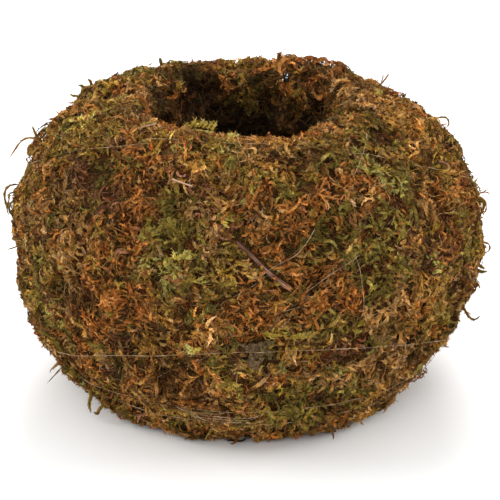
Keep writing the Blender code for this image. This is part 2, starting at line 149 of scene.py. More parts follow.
def skin_profile():
    """Travel, radius, height and outward normal along the skin, at closely spaced stations."""
    station = np.linspace(-2, 3, SKIN_STEPS)
    across, height = belly(np.clip(station, -1, 1))
    under = station < -1
    across[under] = BASE_RADIUS * (station[under] + 2)
    height[under] = 0
    roll = (station > 1) & (station <= 2)
    turn = (station[roll] - 1) * math.pi / 2
    across[roll] = RIM_RADIUS - (RIM_RADIUS - HOLE_RADIUS) * np.sin(turn)
    height[roll] = RIM_HEIGHT - ROLL_DEPTH * (1 - np.cos(turn))
    flap = station > 2
    share = station[flap] - 2
    across[flap] = HOLE_RADIUS + (FLAP_END_RADIUS - HOLE_RADIUS) * share
    roll_foot = RIM_HEIGHT - ROLL_DEPTH
    height[flap] = roll_foot + (FLAP_END_HEIGHT - roll_foot) * share
    steps = np.hypot(np.diff(across), np.diff(height))
    travel = np.concatenate([[0], np.cumsum(steps)])
    slope = np.stack([np.gradient(across, travel), np.gradient(height, travel)])
    slope /= np.maximum(np.hypot(*slope), 1e-9)
    return SimpleNamespace(
        station=station,
        travel=travel,
        across=across,
        height=height,
        out_across=slope[1],
        out_up=-slope[0],
    )


SKIN = skin_profile()
WHOLE_TRAVEL = SKIN.travel[-1]


def travel_at(station):
    return np.interp(station, SKIN.station, SKIN.travel)


def travel_at_height(height):
    """Travel to a height in millimetres on the outside of the ball."""
    outside = (SKIN.station >= -1) & (SKIN.station <= 1)
    return np.interp(height / 1000, SKIN.height[outside], SKIN.travel[outside])


def radius_at(travel):
    return np.interp(travel, SKIN.travel, SKIN.across)


def on_skin(travel, bearing, rise):
    """Points above the skin by a rise, and the outward direction at each. Bearings in radians."""
    out_across = np.interp(travel, SKIN.travel, SKIN.out_across)
    out_up = np.interp(travel, SKIN.travel, SKIN.out_up)
    across = radius_at(travel) + out_across * rise
    height = np.interp(travel, SKIN.travel, SKIN.height) + out_up * rise
    sine, cosine = np.sin(bearing), np.cos(bearing)
    point = np.stack([across * sine, -across * cosine, height], -1)
    outward = np.stack([out_across * sine, -out_across * cosine, out_up], -1)
    return point, outward


def skin_grid(first, rows, columns):
    """Travel and bearing of a grid round the whole skin, from a first travel on."""
    travel = np.linspace(first, WHOLE_TRAVEL, rows)[:, None]
    bearing = np.linspace(0, 2 * math.pi, columns, endpoint=False)[None]
    return np.broadcast_arrays(travel, bearing)


def nearness(points, travel, bearing, reach):
    """1 at a place on the skin, and less over a reach in millimetres. The bearing is in degrees."""
    middle = on_skin(travel, math.radians(bearing), 0)[0]
    away = np.linalg.norm(points - middle, axis=1) * 1000 / reach
    return np.exp(-(away**2))


def bell(value, middle, width):
    """1 at a middle, and less the further away from it."""
    return np.exp(-(((value - middle) / width) ** 2))


def eased(value, start, span):
    """0 up to a start, 1 from a span past it, and rising evenly in between."""
    return np.clip((value - start) / span, 0, 1)


# The relief's grid, and the bed that the kinked twig lies in
GRID_ROWS = 220
GRID_COLUMNS = 480
BED_REACH = 0.012
TWIG_KINK = 0.003


def lumps(point):
    """How far the moss lies below the tops of its tufts at a point, from 0 to 1."""
    tuft = noise.voronoi(point / TUFT_SIZE)[0][0]
    crease = noise.noise(point / CREASE_SIZE)
    return max(0.0, min(1.0, TUFT_DOME * tuft**1.5 + CREASE_SHARE * crease))


def patch_noise(points, size, number):
    """Smooth noise over the points, different for each number."""
    offset = Vector((3.7 * number, -5.1 * number, 9.3 * number))
    return np.array([noise.noise(Vector(point) / size + offset) for point in points])


def relief_share(station):
    """How much of the relief a station takes: none under the ball, little in the hole."""
    outside = eased(station, -1, RELIEF_FULL_ABOVE + 1)
    inwards = eased(station, RELIEF_FADES_FROM, RELIEF_FADED_AT - RELIEF_FADES_FROM)
    return outside * (1 + (INSIDE_RELIEF - 1) * inwards)


def thread_station(turn, bearing):
    """Station of one turn of thread at each bearing in radians."""
    bearing_of_peak, highest, lowest, sharpness = turn
    share = (0.5 + 0.5 * np.cos(bearing - math.radians(bearing_of_peak))) ** sharpness
    return lowest + (highest - lowest) * share


def twig_line(rise, count=40):
    """Points along the twig, a little kinked."""
    (bearing_a, station_a), (bearing_b, station_b) = TWIG_ENDS
    share = np.linspace(0, 1, count)
    bearing = np.radians(bearing_a + (bearing_b - bearing_a) * share)
    bearing = bearing + TWIG_KINK * np.sin(share * 2.2 * math.pi)
    travel = travel_at(station_a) * (1 - share) + travel_at(station_b) * share
    return on_skin(travel, bearing, rise)[0]


def gap_to_line(points, line):
    """Distance from each point to the nearest of a line's points."""
    gap = np.full(points.shape[:-1], 1.0)
    for place in line:
        gap = np.minimum(gap, np.linalg.norm(points - place, axis=-1))
    return gap


def relief_grid():
    """Depth of the moss below the skin, by travel and by bearing."""
    travel, bearing = skin_grid(0, GRID_ROWS, GRID_COLUMNS)
    shape = travel.shape
    points = on_skin(travel, bearing, 0)[0].reshape(-1, 3)
    station = np.interp(travel, SKIN.travel, SKIN.station)
    depth = np.array([lumps(Vector(point)) for point in points]).reshape(shape)
    depth = depth * relief_share(station) * RELIEF_DEPTH * RELIEF_SHARE
    for turn in THREAD_TURNS:
        level = travel_at(thread_station(turn, bearing))
        depth = np.maximum(depth, GROOVE_DEPTH * bell(travel, level, GROOVE_WIDTH))
    for bearing_of, height, reach, rise in SWELLINGS:
        near = nearness(points, travel_at_height(height), bearing_of, reach)
        depth = depth - rise / 1000 * near.reshape(shape)
    inside = eased(station, LUMPS_FROM, LUMPS_FULL - LUMPS_FROM) * eased(3 - station, 0, LUMPS_FADE)
    lump = patch_noise(points, INSIDE_LUMP_SIZE, LUMP_NUMBER).reshape(shape) + INSIDE_LUMP_LEVEL
    depth = depth - INSIDE_LUMP_DEPTH * inside * np.maximum(lump, 0)
    near_twig = gap_to_line(points, twig_line(0)).reshape(shape) < BED_REACH
    return np.where(near_twig, np.minimum(depth, TWIG_BED), depth)


RELIEF = relief_grid()


def relief_at(travel, bearing):
    """The relief's depth between the grid's points."""
    row = np.clip(travel / WHOLE_TRAVEL * (GRID_ROWS - 1), 0, GRID_ROWS - 1.001)
    column = (bearing / (2 * math.pi)) % 1 * GRID_COLUMNS
    low_row, low_column = np.floor(row).astype(int), np.floor(column).astype(int)
    in_row, in_column = row - low_row, column - low_column
    left, right = low_column % GRID_COLUMNS, (low_column + 1) % GRID_COLUMNS
    near, far = (
        RELIEF[low_row + step, left] * (1 - in_column) + RELIEF[low_row + step, right] * in_column
        for step in (0, 1)
    )
    return near * (1 - in_row) + far * in_row


# Colours of the dried moss, as it looks when lit by plain white light
KINDS = {
    "olive": ((0.252, 0.151, 0.025), (0.178, 0.104, 0.015), (0.335, 0.218, 0.054)),
    "green": ((0.165, 0.121, 0.020), (0.215, 0.160, 0.032), (0.105, 0.076, 0.011)),
    "straw": ((0.360, 0.200, 0.064), (0.278, 0.141, 0.036), (0.395, 0.232, 0.084)),
    "ochre": ((0.325, 0.165, 0.033), (0.245, 0.115, 0.019), (0.375, 0.215, 0.060)),
    "rust": ((0.300, 0.107, 0.019), (0.345, 0.146, 0.036), (0.190, 0.060, 0.009)),
    "umber": ((0.135, 0.056, 0.012), (0.188, 0.084, 0.020), (0.090, 0.035, 0.008)),
    "mauve": ((0.155, 0.061, 0.026), (0.108, 0.041, 0.017), (0.222, 0.101, 0.046)),
    "lime": ((0.268, 0.219, 0.046), (0.312, 0.266, 0.070), (0.200, 0.158, 0.026)),
}
KIND_NAMES = tuple(KINDS)
# Each kind's strands against the common ones: width, curl and length
KIND_FORMS = (
    (1.00, 1.0, 1.0),
    (1.10, 0.8, 0.95),
    (1.10, 1.3, 1.0),
    (0.95, 1.1, 0.95),
    (0.78, 0.85, 0.92),
    (0.80, 0.8, 1.05),
    (0.55, 0.5, 1.25),
    (1.20, 0.7, 0.9),
)
# How common each kind is, how strongly the kinds come in patches, by noise of two sizes and by
# chance, and how often a strand is of another kind and of which
KIND_BIAS = (0.16, -0.10, 0.12, 0.00, 0.12, 0.00, -0.14, -0.9)
PATCH_SIZE = 0.014
PATCH_STRENGTH = 0.90
FINE_PATCH_SIZE = 0.0046
FINE_PATCH_STRENGTH = 0.85
KIND_CHANCE = 0.10
STRANGER_CHANCE = 0.17
STRANGER_SHARES = (0.20, 0.08, 0.20, 0.12, 0.16, 0.14, 0.10, 0.0)

# Patches that the photograph shows, by kind: bearing, and height and reach in millimetres
COLOUR_PATCHES = {
    "rust": (
        (-38, 127, 12), (-32, 123, 11), (-36, 113, 9), (-31, 100, 9), (-1, 118, 8), (29, 123, 7),
        (36, 121, 8), (19, 117, 10), (14, 112, 9), (10, 108, 9), (-35, 85, 13),
        (-26, 75, 12), (-40, 62, 9), (-34, 62, 8), (-49, 40, 11), (-50, 25, 12), (-4, 75, 11),
        (8, 98, 9), (19, 86, 8), (23, 75, 9), (27, 70, 8), (44, 59, 9), (58, 93, 10), (4, 74, 9),
        (-51, 135, 8), (150, 134, 16), (-16, 28, 10), (2, 22, 8),
        (-36, 126, 6), (36, 123, 5), (78, 108, 6), (76, 102, 8),
    ),
    "straw": (
        (-49, 103, 10), (-4, 119, 8), (31, 120, 8), (100, 135, 12), (-48, 84, 10), (-13, 86, 7),
        (38, 75, 11), (-25, 135, 11), (44, 34, 12), (38, 48, 9), (-10, 100, 7), (22, 40, 8),
        (7, 45, 8), (-60, 95, 9), (-57, 135, 6), (4, 134, 6), (20, 134, 7), (45, 135, 6),
        (-92, 135, 6), (-109, 135, 6), (-88, 108, 7), (113, 135, 7), (81, 134, 8), (75, 131, 7),
        (89, 134, 8),
    ),
    "ochre": (
        (-12, 126, 11), (81, 131, 11), (82, 126, 12), (62, 123, 10), (-24, 61, 10), (-16, 66, 10),
        (48, 72, 12), (13, 133, 10), (69, 104, 10), (3, 84, 8), (-30, 20, 9),
        (70, 128, 5), (64, 123, 6), (72, 121, 5),
    ),
    "green": (
        (-81, 117, 9), (-65, 126, 11), (-50, 123, 9), (-24, 110, 9), (-16, 109, 11),
        (-120, 133, 12), (49, 130, 9), (60, 126, 7), (20, 111, 8), (42, 111, 12), (13, 122, 9),
        (-10, 93, 9), (-64, 74, 9), (-60, 46, 13), (-14, 70, 7), (37, 89, 12), (22, 66, 8),
        (31, 78, 9), (12, 28, 10), (23, 25, 9), (35, 131, 8), (-3, 46, 6), (35, 100, 8),
    ),
    "olive": (
        (-48, 16, 10), (55, 55, 12), (-4, 94, 9), (-70, 60, 10), (5, 60, 7), (-117, 126, 10),
        (-94, 126, 9), (-86, 132, 7), (-76, 100, 10), (-114, 134, 8), (-61, 120, 7), (-81, 121, 8),
        (-64, 130, 8), (-73, 126, 8), (-101, 130, 8), (-20, 132, 7), (31, 133, 7), (72, 114, 8),
        (84, 120, 8), (66, 133, 7),
    ),
    "umber": ((-44, 68, 11), (-19, 45, 10), (-17, 38, 9), (52, 40, 9), (-63, 108, 8)),
    "mauve": (
        (-40, 116, 11), (-14, 122, 8), (-6, 108, 9), (-53, 115, 12), (57, 131, 7), (35, 124, 6),
        (43, 100, 12), (-32, 55, 10), (-38, 37, 6), (-1, 35, 7), (36, 38, 7), (13, 100, 6),
        (24, 52, 8), (50, 85, 8),
    ),
    "lime": (
        (-32, 131, 6), (-68, 86, 7), (-116, 128, 8), (44, 124, 8), (4, 123, 8), (-18, 93, 10),
        (-31, 38, 6), (-10, 58, 5), (12, 65, 7), (37, 58, 4), (53, 78, 7), (29, 42, 8),
        (-5, 135, 5), (106, 134, 5), (-122, 127, 6), (-127, 129, 6), (-127, 133, 5), (-111, 125, 6),
        (-58, 125, 5), (43, 123, 6), (-19, 93, 6), (-24, 100, 5), (-76, 130, 9), (-66, 134, 8),
        (-96, 133, 9), (-24, 134, 7), (-11, 134, 6),
        (-34, 135, 6), (-84, 127, 7),
    ),
}
# The same inside the hole: bearing, station, and reach in millimetres
INSIDE_PATCHES = {
    "rust": (
        (-132, 1.3, 8), (-136, 1.8, 8), (-162, 1.2, 8), (140, 1.4, 9), (125, 1.6, 9), (114, 1.3, 8),
        (151, 1.0, 8), (161, 1.3, 6),
    ),
    "olive": ((-179, 1.3, 8), (178, 1.75, 8), (173, 2.1, 7), (-176, 2.2, 7), (-140, 1.0, 8)),
    "green": ((-174, 1.3, 6), (171, 1.3, 7), (175, 1.9, 6), (-154, 1.7, 8)),
    "umber": ((-147, 2.1, 9), (-167, 1.95, 7), (159, 2.05, 7), (165, 2.3, 7)),
    "straw": ((-111, 1.6, 7), (-121, 1.85, 6), (113, 1.75, 6), (103, 1.5, 7)),
}
# How strongly those patches pull
PATCH_PULL = 1.25
LIME_PULL = 1.5

# Places that the photograph shows lighter or darker, painted into the colour as light and shade such
# as the lit shoulders and rim and the shaded grooves: bearing, height and reach in millimetres, and
# by how much
SHADE_PLACES = (
    (-68, 130, 14, 0.56), (-90, 131, 12, 0.56), (-110, 133, 12, 0.54), (88, 129, 14, 0.56),
    (73, 122, 12, 0.54), (103, 133, 12, 0.56), (45, 126, 6, 0.40), (45, 115, 7, 0.30),
    (-48, 85, 8, 0.30), (-17, 99, 8, 0.18), (-19, 90, 6, 0.08), (9, 115, 6, 0.28),
    (22, 79, 7, 0.32), (-5, 75, 7, 0.30), (-51, 34, 9, 0.20), (25, 46, 9, 0.25), (8, 66, 5, 0.30),
    (-7, 53, 6, 0.22), (38, 94, 7, 0.25), (-39, 127, 7, 0.22), (-15, 130, 8, 0.20),
    (72, 102, 9, 0.20), (-82, 89, 10, 0.25), (-50, 134, 10, 0.46), (-30, 134, 9, 0.76),
    (-8, 135, 9, 0.80), (14, 135, 9, 0.80), (36, 135, 9, 0.70), (-14, 20, 10, 0.36),
    (4, 26, 12, 0.34), (-2, 14, 10, 0.34), (42, 38, 16, -0.12), (-47, 70, 8, -0.90),
    (-19, 48, 7, -0.80), (-66, 108, 6, -0.55), (-22, 113, 5, -0.50), (-9, 86, 4, -0.45),
    (14, 112, 4, -0.45), (30, 114, 4, -0.45), (35, 83, 5, -0.55), (-35, 104, 5, -0.45),
)
# How far the shade differs by noise, over what size, and how much painted shade darkens the moss
# along the thread
PATCH_SHADE = 0.78
PATCH_SHADE_SIZE = 0.0085
THREAD_SHADE = 0.28


def kinds_at(points, chance):
    """The kind of moss at each point: by patches, by those the photograph shows, and by chance."""
    scores = []
    for number, bias in enumerate(KIND_BIAS):
        score = bias + PATCH_STRENGTH * patch_noise(points, PATCH_SIZE, number)
        score += FINE_PATCH_STRENGTH * patch_noise(points, FINE_PATCH_SIZE, number + 11)
        scores.append(score + chance.normal(0, KIND_CHANCE, len(points)))
    for patches, travel_of in ((COLOUR_PATCHES, travel_at_height), (INSIDE_PATCHES, travel_at)):
        for name, places in patches.items():
            pull = LIME_PULL if name == "lime" else PATCH_PULL
            for bearing, level, reach in places:
                near = nearness(points, travel_of(level), bearing, reach)
                scores[KIND_NAMES.index(name)] += pull * near
    return np.argmax(scores, axis=0)


def painted_light_and_tone_at(points):
    """How light the moss is against its own colour: tone by noise, and painted light and shade."""
    change = PATCH_SHADE * patch_noise(points, PATCH_SHADE_SIZE, 61)
    # Painted light and shade at the listed places
    for bearing, height, reach, much in SHADE_PLACES:
        change = change + much * nearness(points, travel_at_height(height), bearing, reach)
    bearing = np.arctan2(points[:, 0], -points[:, 1])
    outside = np.hypot(points[:, 0], points[:, 1]) > RIM_RADIUS
    # Painted shade in the grooves along the thread
    for turn in THREAD_TURNS:
        level = np.interp(travel_at(thread_station(turn, bearing)), SKIN.travel, SKIN.height)
        change = change - THREAD_SHADE * outside * bell(points[:, 2], level, GROOVE_WIDTH)
    # Painted light on the lumps inside the hole, and painted shade between them
    inside = ~outside & (points[:, 2] > FLAP_END_HEIGHT)
    lump = patch_noise(points, INSIDE_LUMP_SIZE, LUMP_NUMBER)
    return np.exp(change + INSIDE_LUMP_SHADE * inside * lump)


# Strands: each one is a row of these columns
COLUMNS = (
    "travel bearing heading curl wave phase length width base lift tip roll twist kind shade hue"
).split()


# Travel to the first row of tufts, and how far before the end of the moss the last one stands
FIRST_TUFT = 0.006
LAST_TUFT_BEFORE_END = 0.001


def tuft_places(chance):
    """Travel and bearing of every tuft, in rows a spacing apart with some play."""
    places = []
    travel = FIRST_TUFT
    while travel < WHOLE_TRAVEL - LAST_TUFT_BEFORE_END:
        spacing = UNDERSIDE_SPACING if travel < travel_at(-1.0) else TUFT_SPACING
        count = max(3, round(2 * math.pi * float(radius_at(travel)) / spacing))
        play = chance.uniform(-0.5, 0.5, (2, count))
        around = (np.arange(count) + chance.uniform() + play[0]) / count * 2 * math.pi
        places.append(np.stack([travel + play[1] * spacing, around]))
        travel += spacing
    return np.concatenate(places, 1)


# Shoots that stand up: how often and how far, and how near the crest of the rim there are none
FUZZ_CHANCE = 0.035
FUZZ_RISE = (0.0012, 0.0036)
FUZZ_FREE = 0.012
# Shoots inside the rim: the station and reach over which they sink and flatten, then widen
INSIDE_FROM = 0.9
INSIDE_EASING = 0.020
INSIDE_SINK = 0.0009
INSIDE_FLATTENING = 0.4
WIDE_FROM = 1.1
WIDE_EASING = 0.010
INSIDE_WIDENING = 0.70
# Painted shade inside the hole: where past the crest it starts, at the rear and at the flap too,
# and how it grows
DARK_FROM = 0.003
REAR_DARK_FROM = -0.0030
REAR_BREADTH = 1.7
FLAP_BEARING = 140
FLAP_SPREAD = 14
FLAP_DARK_FROM = -0.0048
DARK_REACH = 0.014
DARK_POWER = 1.3
REAR_DARK_POWER = 0.7
DARK_MOST = 0.90
DEEP_DARK = 0.75


def painted_hole_shade(travel, bearing):
    """Painted shade on the moss: nothing outside, most in the hole, and from the crest at the rear."""
    rear = np.clip(-REAR_BREADTH * np.cos(bearing), 0, 1)
    turn = (np.degrees(bearing) - FLAP_BEARING + 180) % 360 - 180
    start = DARK_FROM + (REAR_DARK_FROM - DARK_FROM) * rear
    start = start + (FLAP_DARK_FROM - start) * bell(turn, 0, FLAP_SPREAD)
    past = np.maximum(travel - travel_at(1.0) - start, 0) / DARK_REACH
    hole_shade = DARK_MOST * (1 - np.exp(-(past ** (DARK_POWER + (REAR_DARK_POWER - DARK_POWER) * rear))))
    deep = eased(travel, travel_at(2.0), WHOLE_TRAVEL - travel_at(2.0))
    return 1 - (1 - hole_shade) * (1 - DEEP_DARK * deep)


def strand(travel, bearing, heading, family, chance, **given):
    """One strand as a row, with what isn't given drawn by chance."""
    strange = chance.random() < STRANGER_CHANCE
    kind = chance.choice(len(KINDS), p=STRANGER_SHARES) if strange else family
    width, curl, length = KIND_FORMS[kind]
    drawn = {
        "travel": travel,
        "bearing": bearing,
        "heading": heading,
        "curl": chance.normal(0, 2.2) * curl,
        "wave": chance.uniform(0.1, 0.9),
        "phase": chance.uniform(0, 6.28),
        "length": chance.uniform(0.0038, 0.0078) * length,
        "width": chance.uniform(0.00100, 0.00168) * width,
        "base": chance.uniform(-0.0023, -0.0008),
        "lift": chance.uniform(0.0008, 0.0022),
        "tip": chance.normal(0.0002, 0.0009),
        "roll": chance.normal(0, 0.5),
        "twist": chance.normal(0, 1.1),
        "kind": kind,
        "shade": math.exp(chance.normal(0, 0.20)),
        "hue": chance.uniform(0, 1),
    }
    drawn.update(given)
    if chance.random() < FUZZ_CHANCE:
        drawn["tip"] += chance.uniform(*FUZZ_RISE) * (1 - bell(travel, travel_at(1.0), FUZZ_FREE))
    inside = eased(travel, travel_at(INSIDE_FROM), INSIDE_EASING)
    drawn["base"] -= INSIDE_SINK * inside
    drawn["lift"] *= 1 - INSIDE_FLATTENING * inside
    drawn["width"] *= 1 + INSIDE_WIDENING * eased(travel, travel_at(WIDE_FROM), WIDE_EASING)
    # Painted shade inside the hole
    drawn["shade"] *= 1 - painted_hole_shade(travel, bearing)
    return [drawn[column] for column in COLUMNS]


def moved(travel, bearing, heading, curl, run):
    """Place at a run along a strand that curls evenly, its turn being as far as it has run."""
    mean = heading + curl / 2
    along, across = run * math.sin(mean), run * math.cos(mean)
    return travel + along, bearing + across / max(float(radius_at(travel)), 0.01)


# How far from its root's middle a whorl's strand may start
WHORL_ROOT = 0.0012


def whorl(travel, bearing, heading, kind, chance):
    """Strands that leave one root all round."""
    count = chance.integers(5, 9)
    rows = []
    for i in range(count):
        turn = heading + 2 * math.pi * (i + chance.uniform(-0.35, 0.35)) / count
        start = moved(travel, bearing, turn, 0, chance.uniform(0, WHORL_ROOT))
        rows.append(strand(*start, turn, kind, chance))
    return rows


FROND_LENGTH = (0.010, 0.0155)
# Where a frond's side strands start along it, and their length as a share of its own at foot and tip
FROND_SIDES = (0.12, 0.88)
FROND_SIDE_LENGTH = (0.50, 0.24)


def frond(travel, bearing, heading, kind, chance):
    """A stem with side strands on both sides, shorter towards its tip."""
    length = chance.uniform(*FROND_LENGTH)
    curl = chance.normal(0, 0.8)
    base = chance.uniform(-0.0018, -0.0006)
    lift = chance.uniform(0.0012, 0.0026)
    stem = dict(length=length, curl=curl, base=base, lift=lift, wave=0.15)
    rows = [strand(travel, bearing, heading, kind, chance, **stem)]
    count = 2 * chance.integers(3, 5)
    first, last = FROND_SIDES
    longest, shortest = FROND_SIDE_LENGTH
    for i in range(count):
        share = first + (last - first) * (i + 0.5) / count
        side = 1 if i % 2 else -1
        start = moved(travel, bearing, heading, curl * share, length * share)
        turn = heading + curl * share + side * chance.uniform(0.6, 1.2)
        rows.append(
            strand(
                *start, turn, kind, chance,
                length=length * (longest - (longest - shortest) * share) * chance.uniform(0.8, 1.2),
                curl=-side * chance.uniform(0.1, 1.3),
                base=base + 0.0007,
                lift=chance.uniform(0.0004, 0.0014),
            )
        )
    return rows


SWIRL_SPACING = 0.0011


def swirl(travel, bearing, heading, kind, chance):
    """Strands side by side that all curl the same way, like a lock of hair."""
    curl = chance.choice([-1, 1]) * chance.uniform(1.0, 2.8)
    rows = []
    for i in range(chance.integers(4, 7)):
        start = moved(travel, bearing, heading + math.pi / 2, 0, (i - 2.5) * SWIRL_SPACING)
        turn = heading + chance.normal(0, 0.25)
        rows.append(strand(*start, turn, kind, chance, curl=curl + chance.normal(0, 0.3)))
    return rows


TUFTS = (whorl, frond, swirl)
# How often each kind grows as each form of tuft
TUFT_CHANCES = (
    (0.25, 0.50, 0.25),
    (0.20, 0.65, 0.15),
    (0.20, 0.35, 0.45),
    (0.40, 0.40, 0.20),
    (0.65, 0.25, 0.10),
    (0.35, 0.35, 0.30),
    (0.20, 0.20, 0.60),
    (0.15, 0.75, 0.10),
)

# How far the tufts differ in shade and height, and how often a bold shoot lies on top
TUFT_SHADE = 0.24
TUFT_RISE = 0.0006
TOP_CURL_CHANCE = 0.60

# The way the shoots lie: by noise, and by the places where they lie steep or level, each with its
# middle and width. Bearings are in degrees and heights in millimetres
FLOW_SIZE = 0.030
FLOW_STRENGTH = 2.4
FLOW_SPREAD = 0.75
STEEP_STRENGTH = 0.9
STEEP_BEARINGS = (75, 28)
STEEP_HEIGHTS = (75, 45)
LOW_HEIGHTS = (0, 24)
RIM_STRENGTH = 0.8
RIM_HEIGHTS = (133, 7)
HANGING_FROM = 1.2
HANGING_EASING = 0.010
HANGING_STRENGTH = 2.6


def flow_at(points, travel, bearing):
    """The way that the shoots lie: level at the rim and low down, steep at the sides and inside."""
    turn = np.abs(np.degrees((bearing + math.pi) % (2 * math.pi) - math.pi))
    height = points[:, 2] * 1000
    steep = STEEP_STRENGTH * bell(turn, *STEEP_BEARINGS) * bell(height, *STEEP_HEIGHTS)
    level = bell(height, *LOW_HEIGHTS) + RIM_STRENGTH * bell(height, *RIM_HEIGHTS)
    hanging = HANGING_STRENGTH * eased(travel, travel_at(HANGING_FROM), HANGING_EASING)
    double_x = FLOW_STRENGTH * patch_noise(points, FLOW_SIZE, 31) + level - steep - hanging
    double_y = FLOW_STRENGTH * patch_noise(points, FLOW_SIZE, 32)
    return np.arctan2(double_y, double_x) / 2


def top_curl(travel, bearing, heading, kind, chance):
    """A long bold shoot that lies curled on top of its tuft, lighter there as painted light."""
    turn = chance.choice([-1, 1]) * chance.uniform(1.2, 3.6)
    return strand(
        travel, bearing, heading, kind, chance,
        curl=turn,
        wave=chance.uniform(0.05, 0.35),
        length=chance.uniform(0.0065, 0.0110),
        width=chance.uniform(0.00105, 0.00155) * KIND_FORMS[kind][0] ** 0.7,
        base=chance.uniform(-0.0010, -0.0002),
        lift=chance.uniform(0.0010, 0.0020),
        # Lighter than the strands below: painted light on the top layer
        shade=math.exp(chance.normal(0.15, 0.14)),
    )


def grow_moss(chance):
    """Every leafy strand of the moss, as a table of rows."""
    travel, bearing = tuft_places(chance)
    points = on_skin(travel, bearing, 0)[0]
    kinds = kinds_at(points, chance)
    shades = painted_light_and_tone_at(points)
    flow = flow_at(points, travel, bearing)
    rows = []
    for i in range(len(travel)):
        grow = TUFTS[chance.choice(3, p=TUFT_CHANCES[kinds[i]])]
        heading = flow[i] + chance.normal(0, FLOW_SPREAD) + math.pi * chance.integers(0, 2)
        shoots = grow(travel[i], bearing[i], heading, kinds[i], chance)
        if chance.random() < TOP_CURL_CHANCE:
            shoots.append(top_curl(travel[i], bearing[i], heading, kinds[i], chance))
        tuft = np.array(shoots, float)
        tuft[:, COLUMNS.index("shade")] *= shades[i] * math.exp(chance.normal(0, TUFT_SHADE))
        tuft[:, COLUMNS.index("base")] += chance.normal(0, TUFT_RISE)
        rows.append(tuft)
    return np.concatenate(rows)


FIBRE_COUNT = 4200
FIBRE_SHARES = (0.12, 0.02, 0.26, 0.08, 0.10, 0.24, 0.18, 0.0)
FIBRE_LOCAL_SHARE = 0.3


def grow_fibres(chance):
    """Bare wiry stems that lie over and between the shoots."""
    area = SKIN.across / SKIN.across.sum()
    travel = np.interp(chance.random(FIBRE_COUNT), np.cumsum(area), SKIN.travel)
    bearing = chance.uniform(0, 2 * math.pi, FIBRE_COUNT)
    points = on_skin(travel, bearing, 0)[0]
    local, shades = kinds_at(points, chance), painted_light_and_tone_at(points)
    rows = []
    for i in range(FIBRE_COUNT):
        kind = chance.choice(len(KINDS), p=FIBRE_SHARES)
        if chance.random() < FIBRE_LOCAL_SHARE:
            kind = local[i]
        rows.append(
            strand(
                travel[i], bearing[i], chance.uniform(0, 2 * math.pi), kind, chance,
                kind=kind,
                length=chance.uniform(0.004, 0.013),
                width=chance.uniform(0.00012, 0.00026),
                curl=chance.normal(0, 0.8),
                base=chance.uniform(-0.0014, -0.0003),
                lift=chance.uniform(0.0006, 0.0018),
                roll=chance.normal(0, 0.3),
                twist=chance.normal(0, 0.3),
                shade=shades[i] * math.exp(chance.normal(-0.1, 0.3)),
            )
        )
    return np.array(rows, float)


# How far strands keep from the twig and from the leaf's middle, and what share crosses all the same
TWIG_CLEARANCE = 0.0021
LEAF_CLEARANCE = 0.0072
LEAF_MIDDLE = (0.0018, 0.0018)
CROSSING_SHARE = 0.10


def clear_of_twig_and_leaf(rows):
    """The rows whose strands leave the twig and the leaf in sight, and a few that cross them."""
    middle = centre_lines(columns_of(rows), FIBRE_POINTS)[0]
    over_twig = gap_to_line(middle, twig_line(0)).min(1) < TWIG_CLEARANCE
    leaf = leaf_point(*LEAF_MIDDLE, 0)
    over_leaf = np.linalg.norm(middle - leaf, axis=-1).min(1) < LEAF_CLEARANCE
    crossing = rows[:, COLUMNS.index("hue")] < CROSSING_SHARE
    return rows[~(over_twig | over_leaf) | crossing]


def leaf_point(across, up, rise):
    """A point of the leaf, by its place on the leaf's own flat outline."""
    travel = travel_at(LEAF_PLACE[1]) + up + LEAF_SHIFT
    bearing = math.radians(LEAF_PLACE[0]) + across / BALL_RADIUS
    return on_skin(travel, bearing, LEAF_RISE + rise)[0]


def columns_of(rows):
    return SimpleNamespace(**{name: rows[:, i][:, None] for i, name in enumerate(COLUMNS)})


# A strand's bends and its finer crinkle: how often each turns, how strong it is and how far it rises
BEND_TURNS = 5
CRINKLE = 0.8
CRINKLE_TURNS = 31
CRINKLE_RISE = 0.00018


def centre_lines(s, count, crinkle=0.0):
    """Points along each strand and the skin's outward direction at each."""
    share = np.linspace(0, 1, count)[None]
    turn = s.heading + s.curl * share + s.wave * np.sin(share * BEND_TURNS + s.phase)
    turn = turn + crinkle * (0.4 + s.wave) * np.sin(share * CRINKLE_TURNS + s.phase * 5)
    step = s.length / (count - 1)
    parts = np.sin(turn), np.cos(turn)
    along, across = (np.cumsum(part * step, 1) - part[:, :1] * step for part in parts)
    travel = np.clip(s.travel + along, 0.002, WHOLE_TRAVEL - 0.0002)
    bearing = s.bearing + across / np.maximum(radius_at(travel), 0.01)
    rise = s.base + s.lift * np.sin(math.pi * np.minimum(1.15 * share, 1)) ** 0.8 + s.tip * share**3
    if crinkle:
        rise = rise + CRINKLE_RISE * np.sin(share * CRINKLE_TURNS * 0.8 + s.phase * 3)
    return on_skin(travel, bearing, rise - relief_at(travel, bearing))


def unit(vectors):
    return vectors / np.maximum(np.linalg.norm(vectors, axis=-1, keepdims=True), 1e-12)


def frames(points, outward):
    """Directions along, aside and up at each point of each line."""
    along = unit(np.gradient(points, axis=1))
    aside = unit(np.cross(outward, along))
    return along, aside, np.cross(along, aside)


def strand_frames(points, outward, s):
    """The same for strands, turned by their roll."""
    along, aside, up = frames(points, outward)
    share = np.linspace(0, 1, points.shape[1])[None]
    roll = (s.roll + s.twist * share)[:, :, None]
    turned = aside * np.cos(roll) + up * np.sin(roll)
    return along, turned, np.cross(along, turned)


# A strand: how many samples it has, at how many its spine has points and how wide the spine is, its
# leaflets, and how far each reaches aside, forward and up as a share of the strand's width
SAMPLES = 31
SPINE_STEP = 3
SPINE_SHARE = 0.48
LEAFLETS = 14
LEAFLET_FOOT = 3
LEAFLET_REACH = (0.44, 0.90)
LEAFLET_FORWARD = (0.55, 1.25)
LEAFLET_CURL = (-0.4, 0.7)
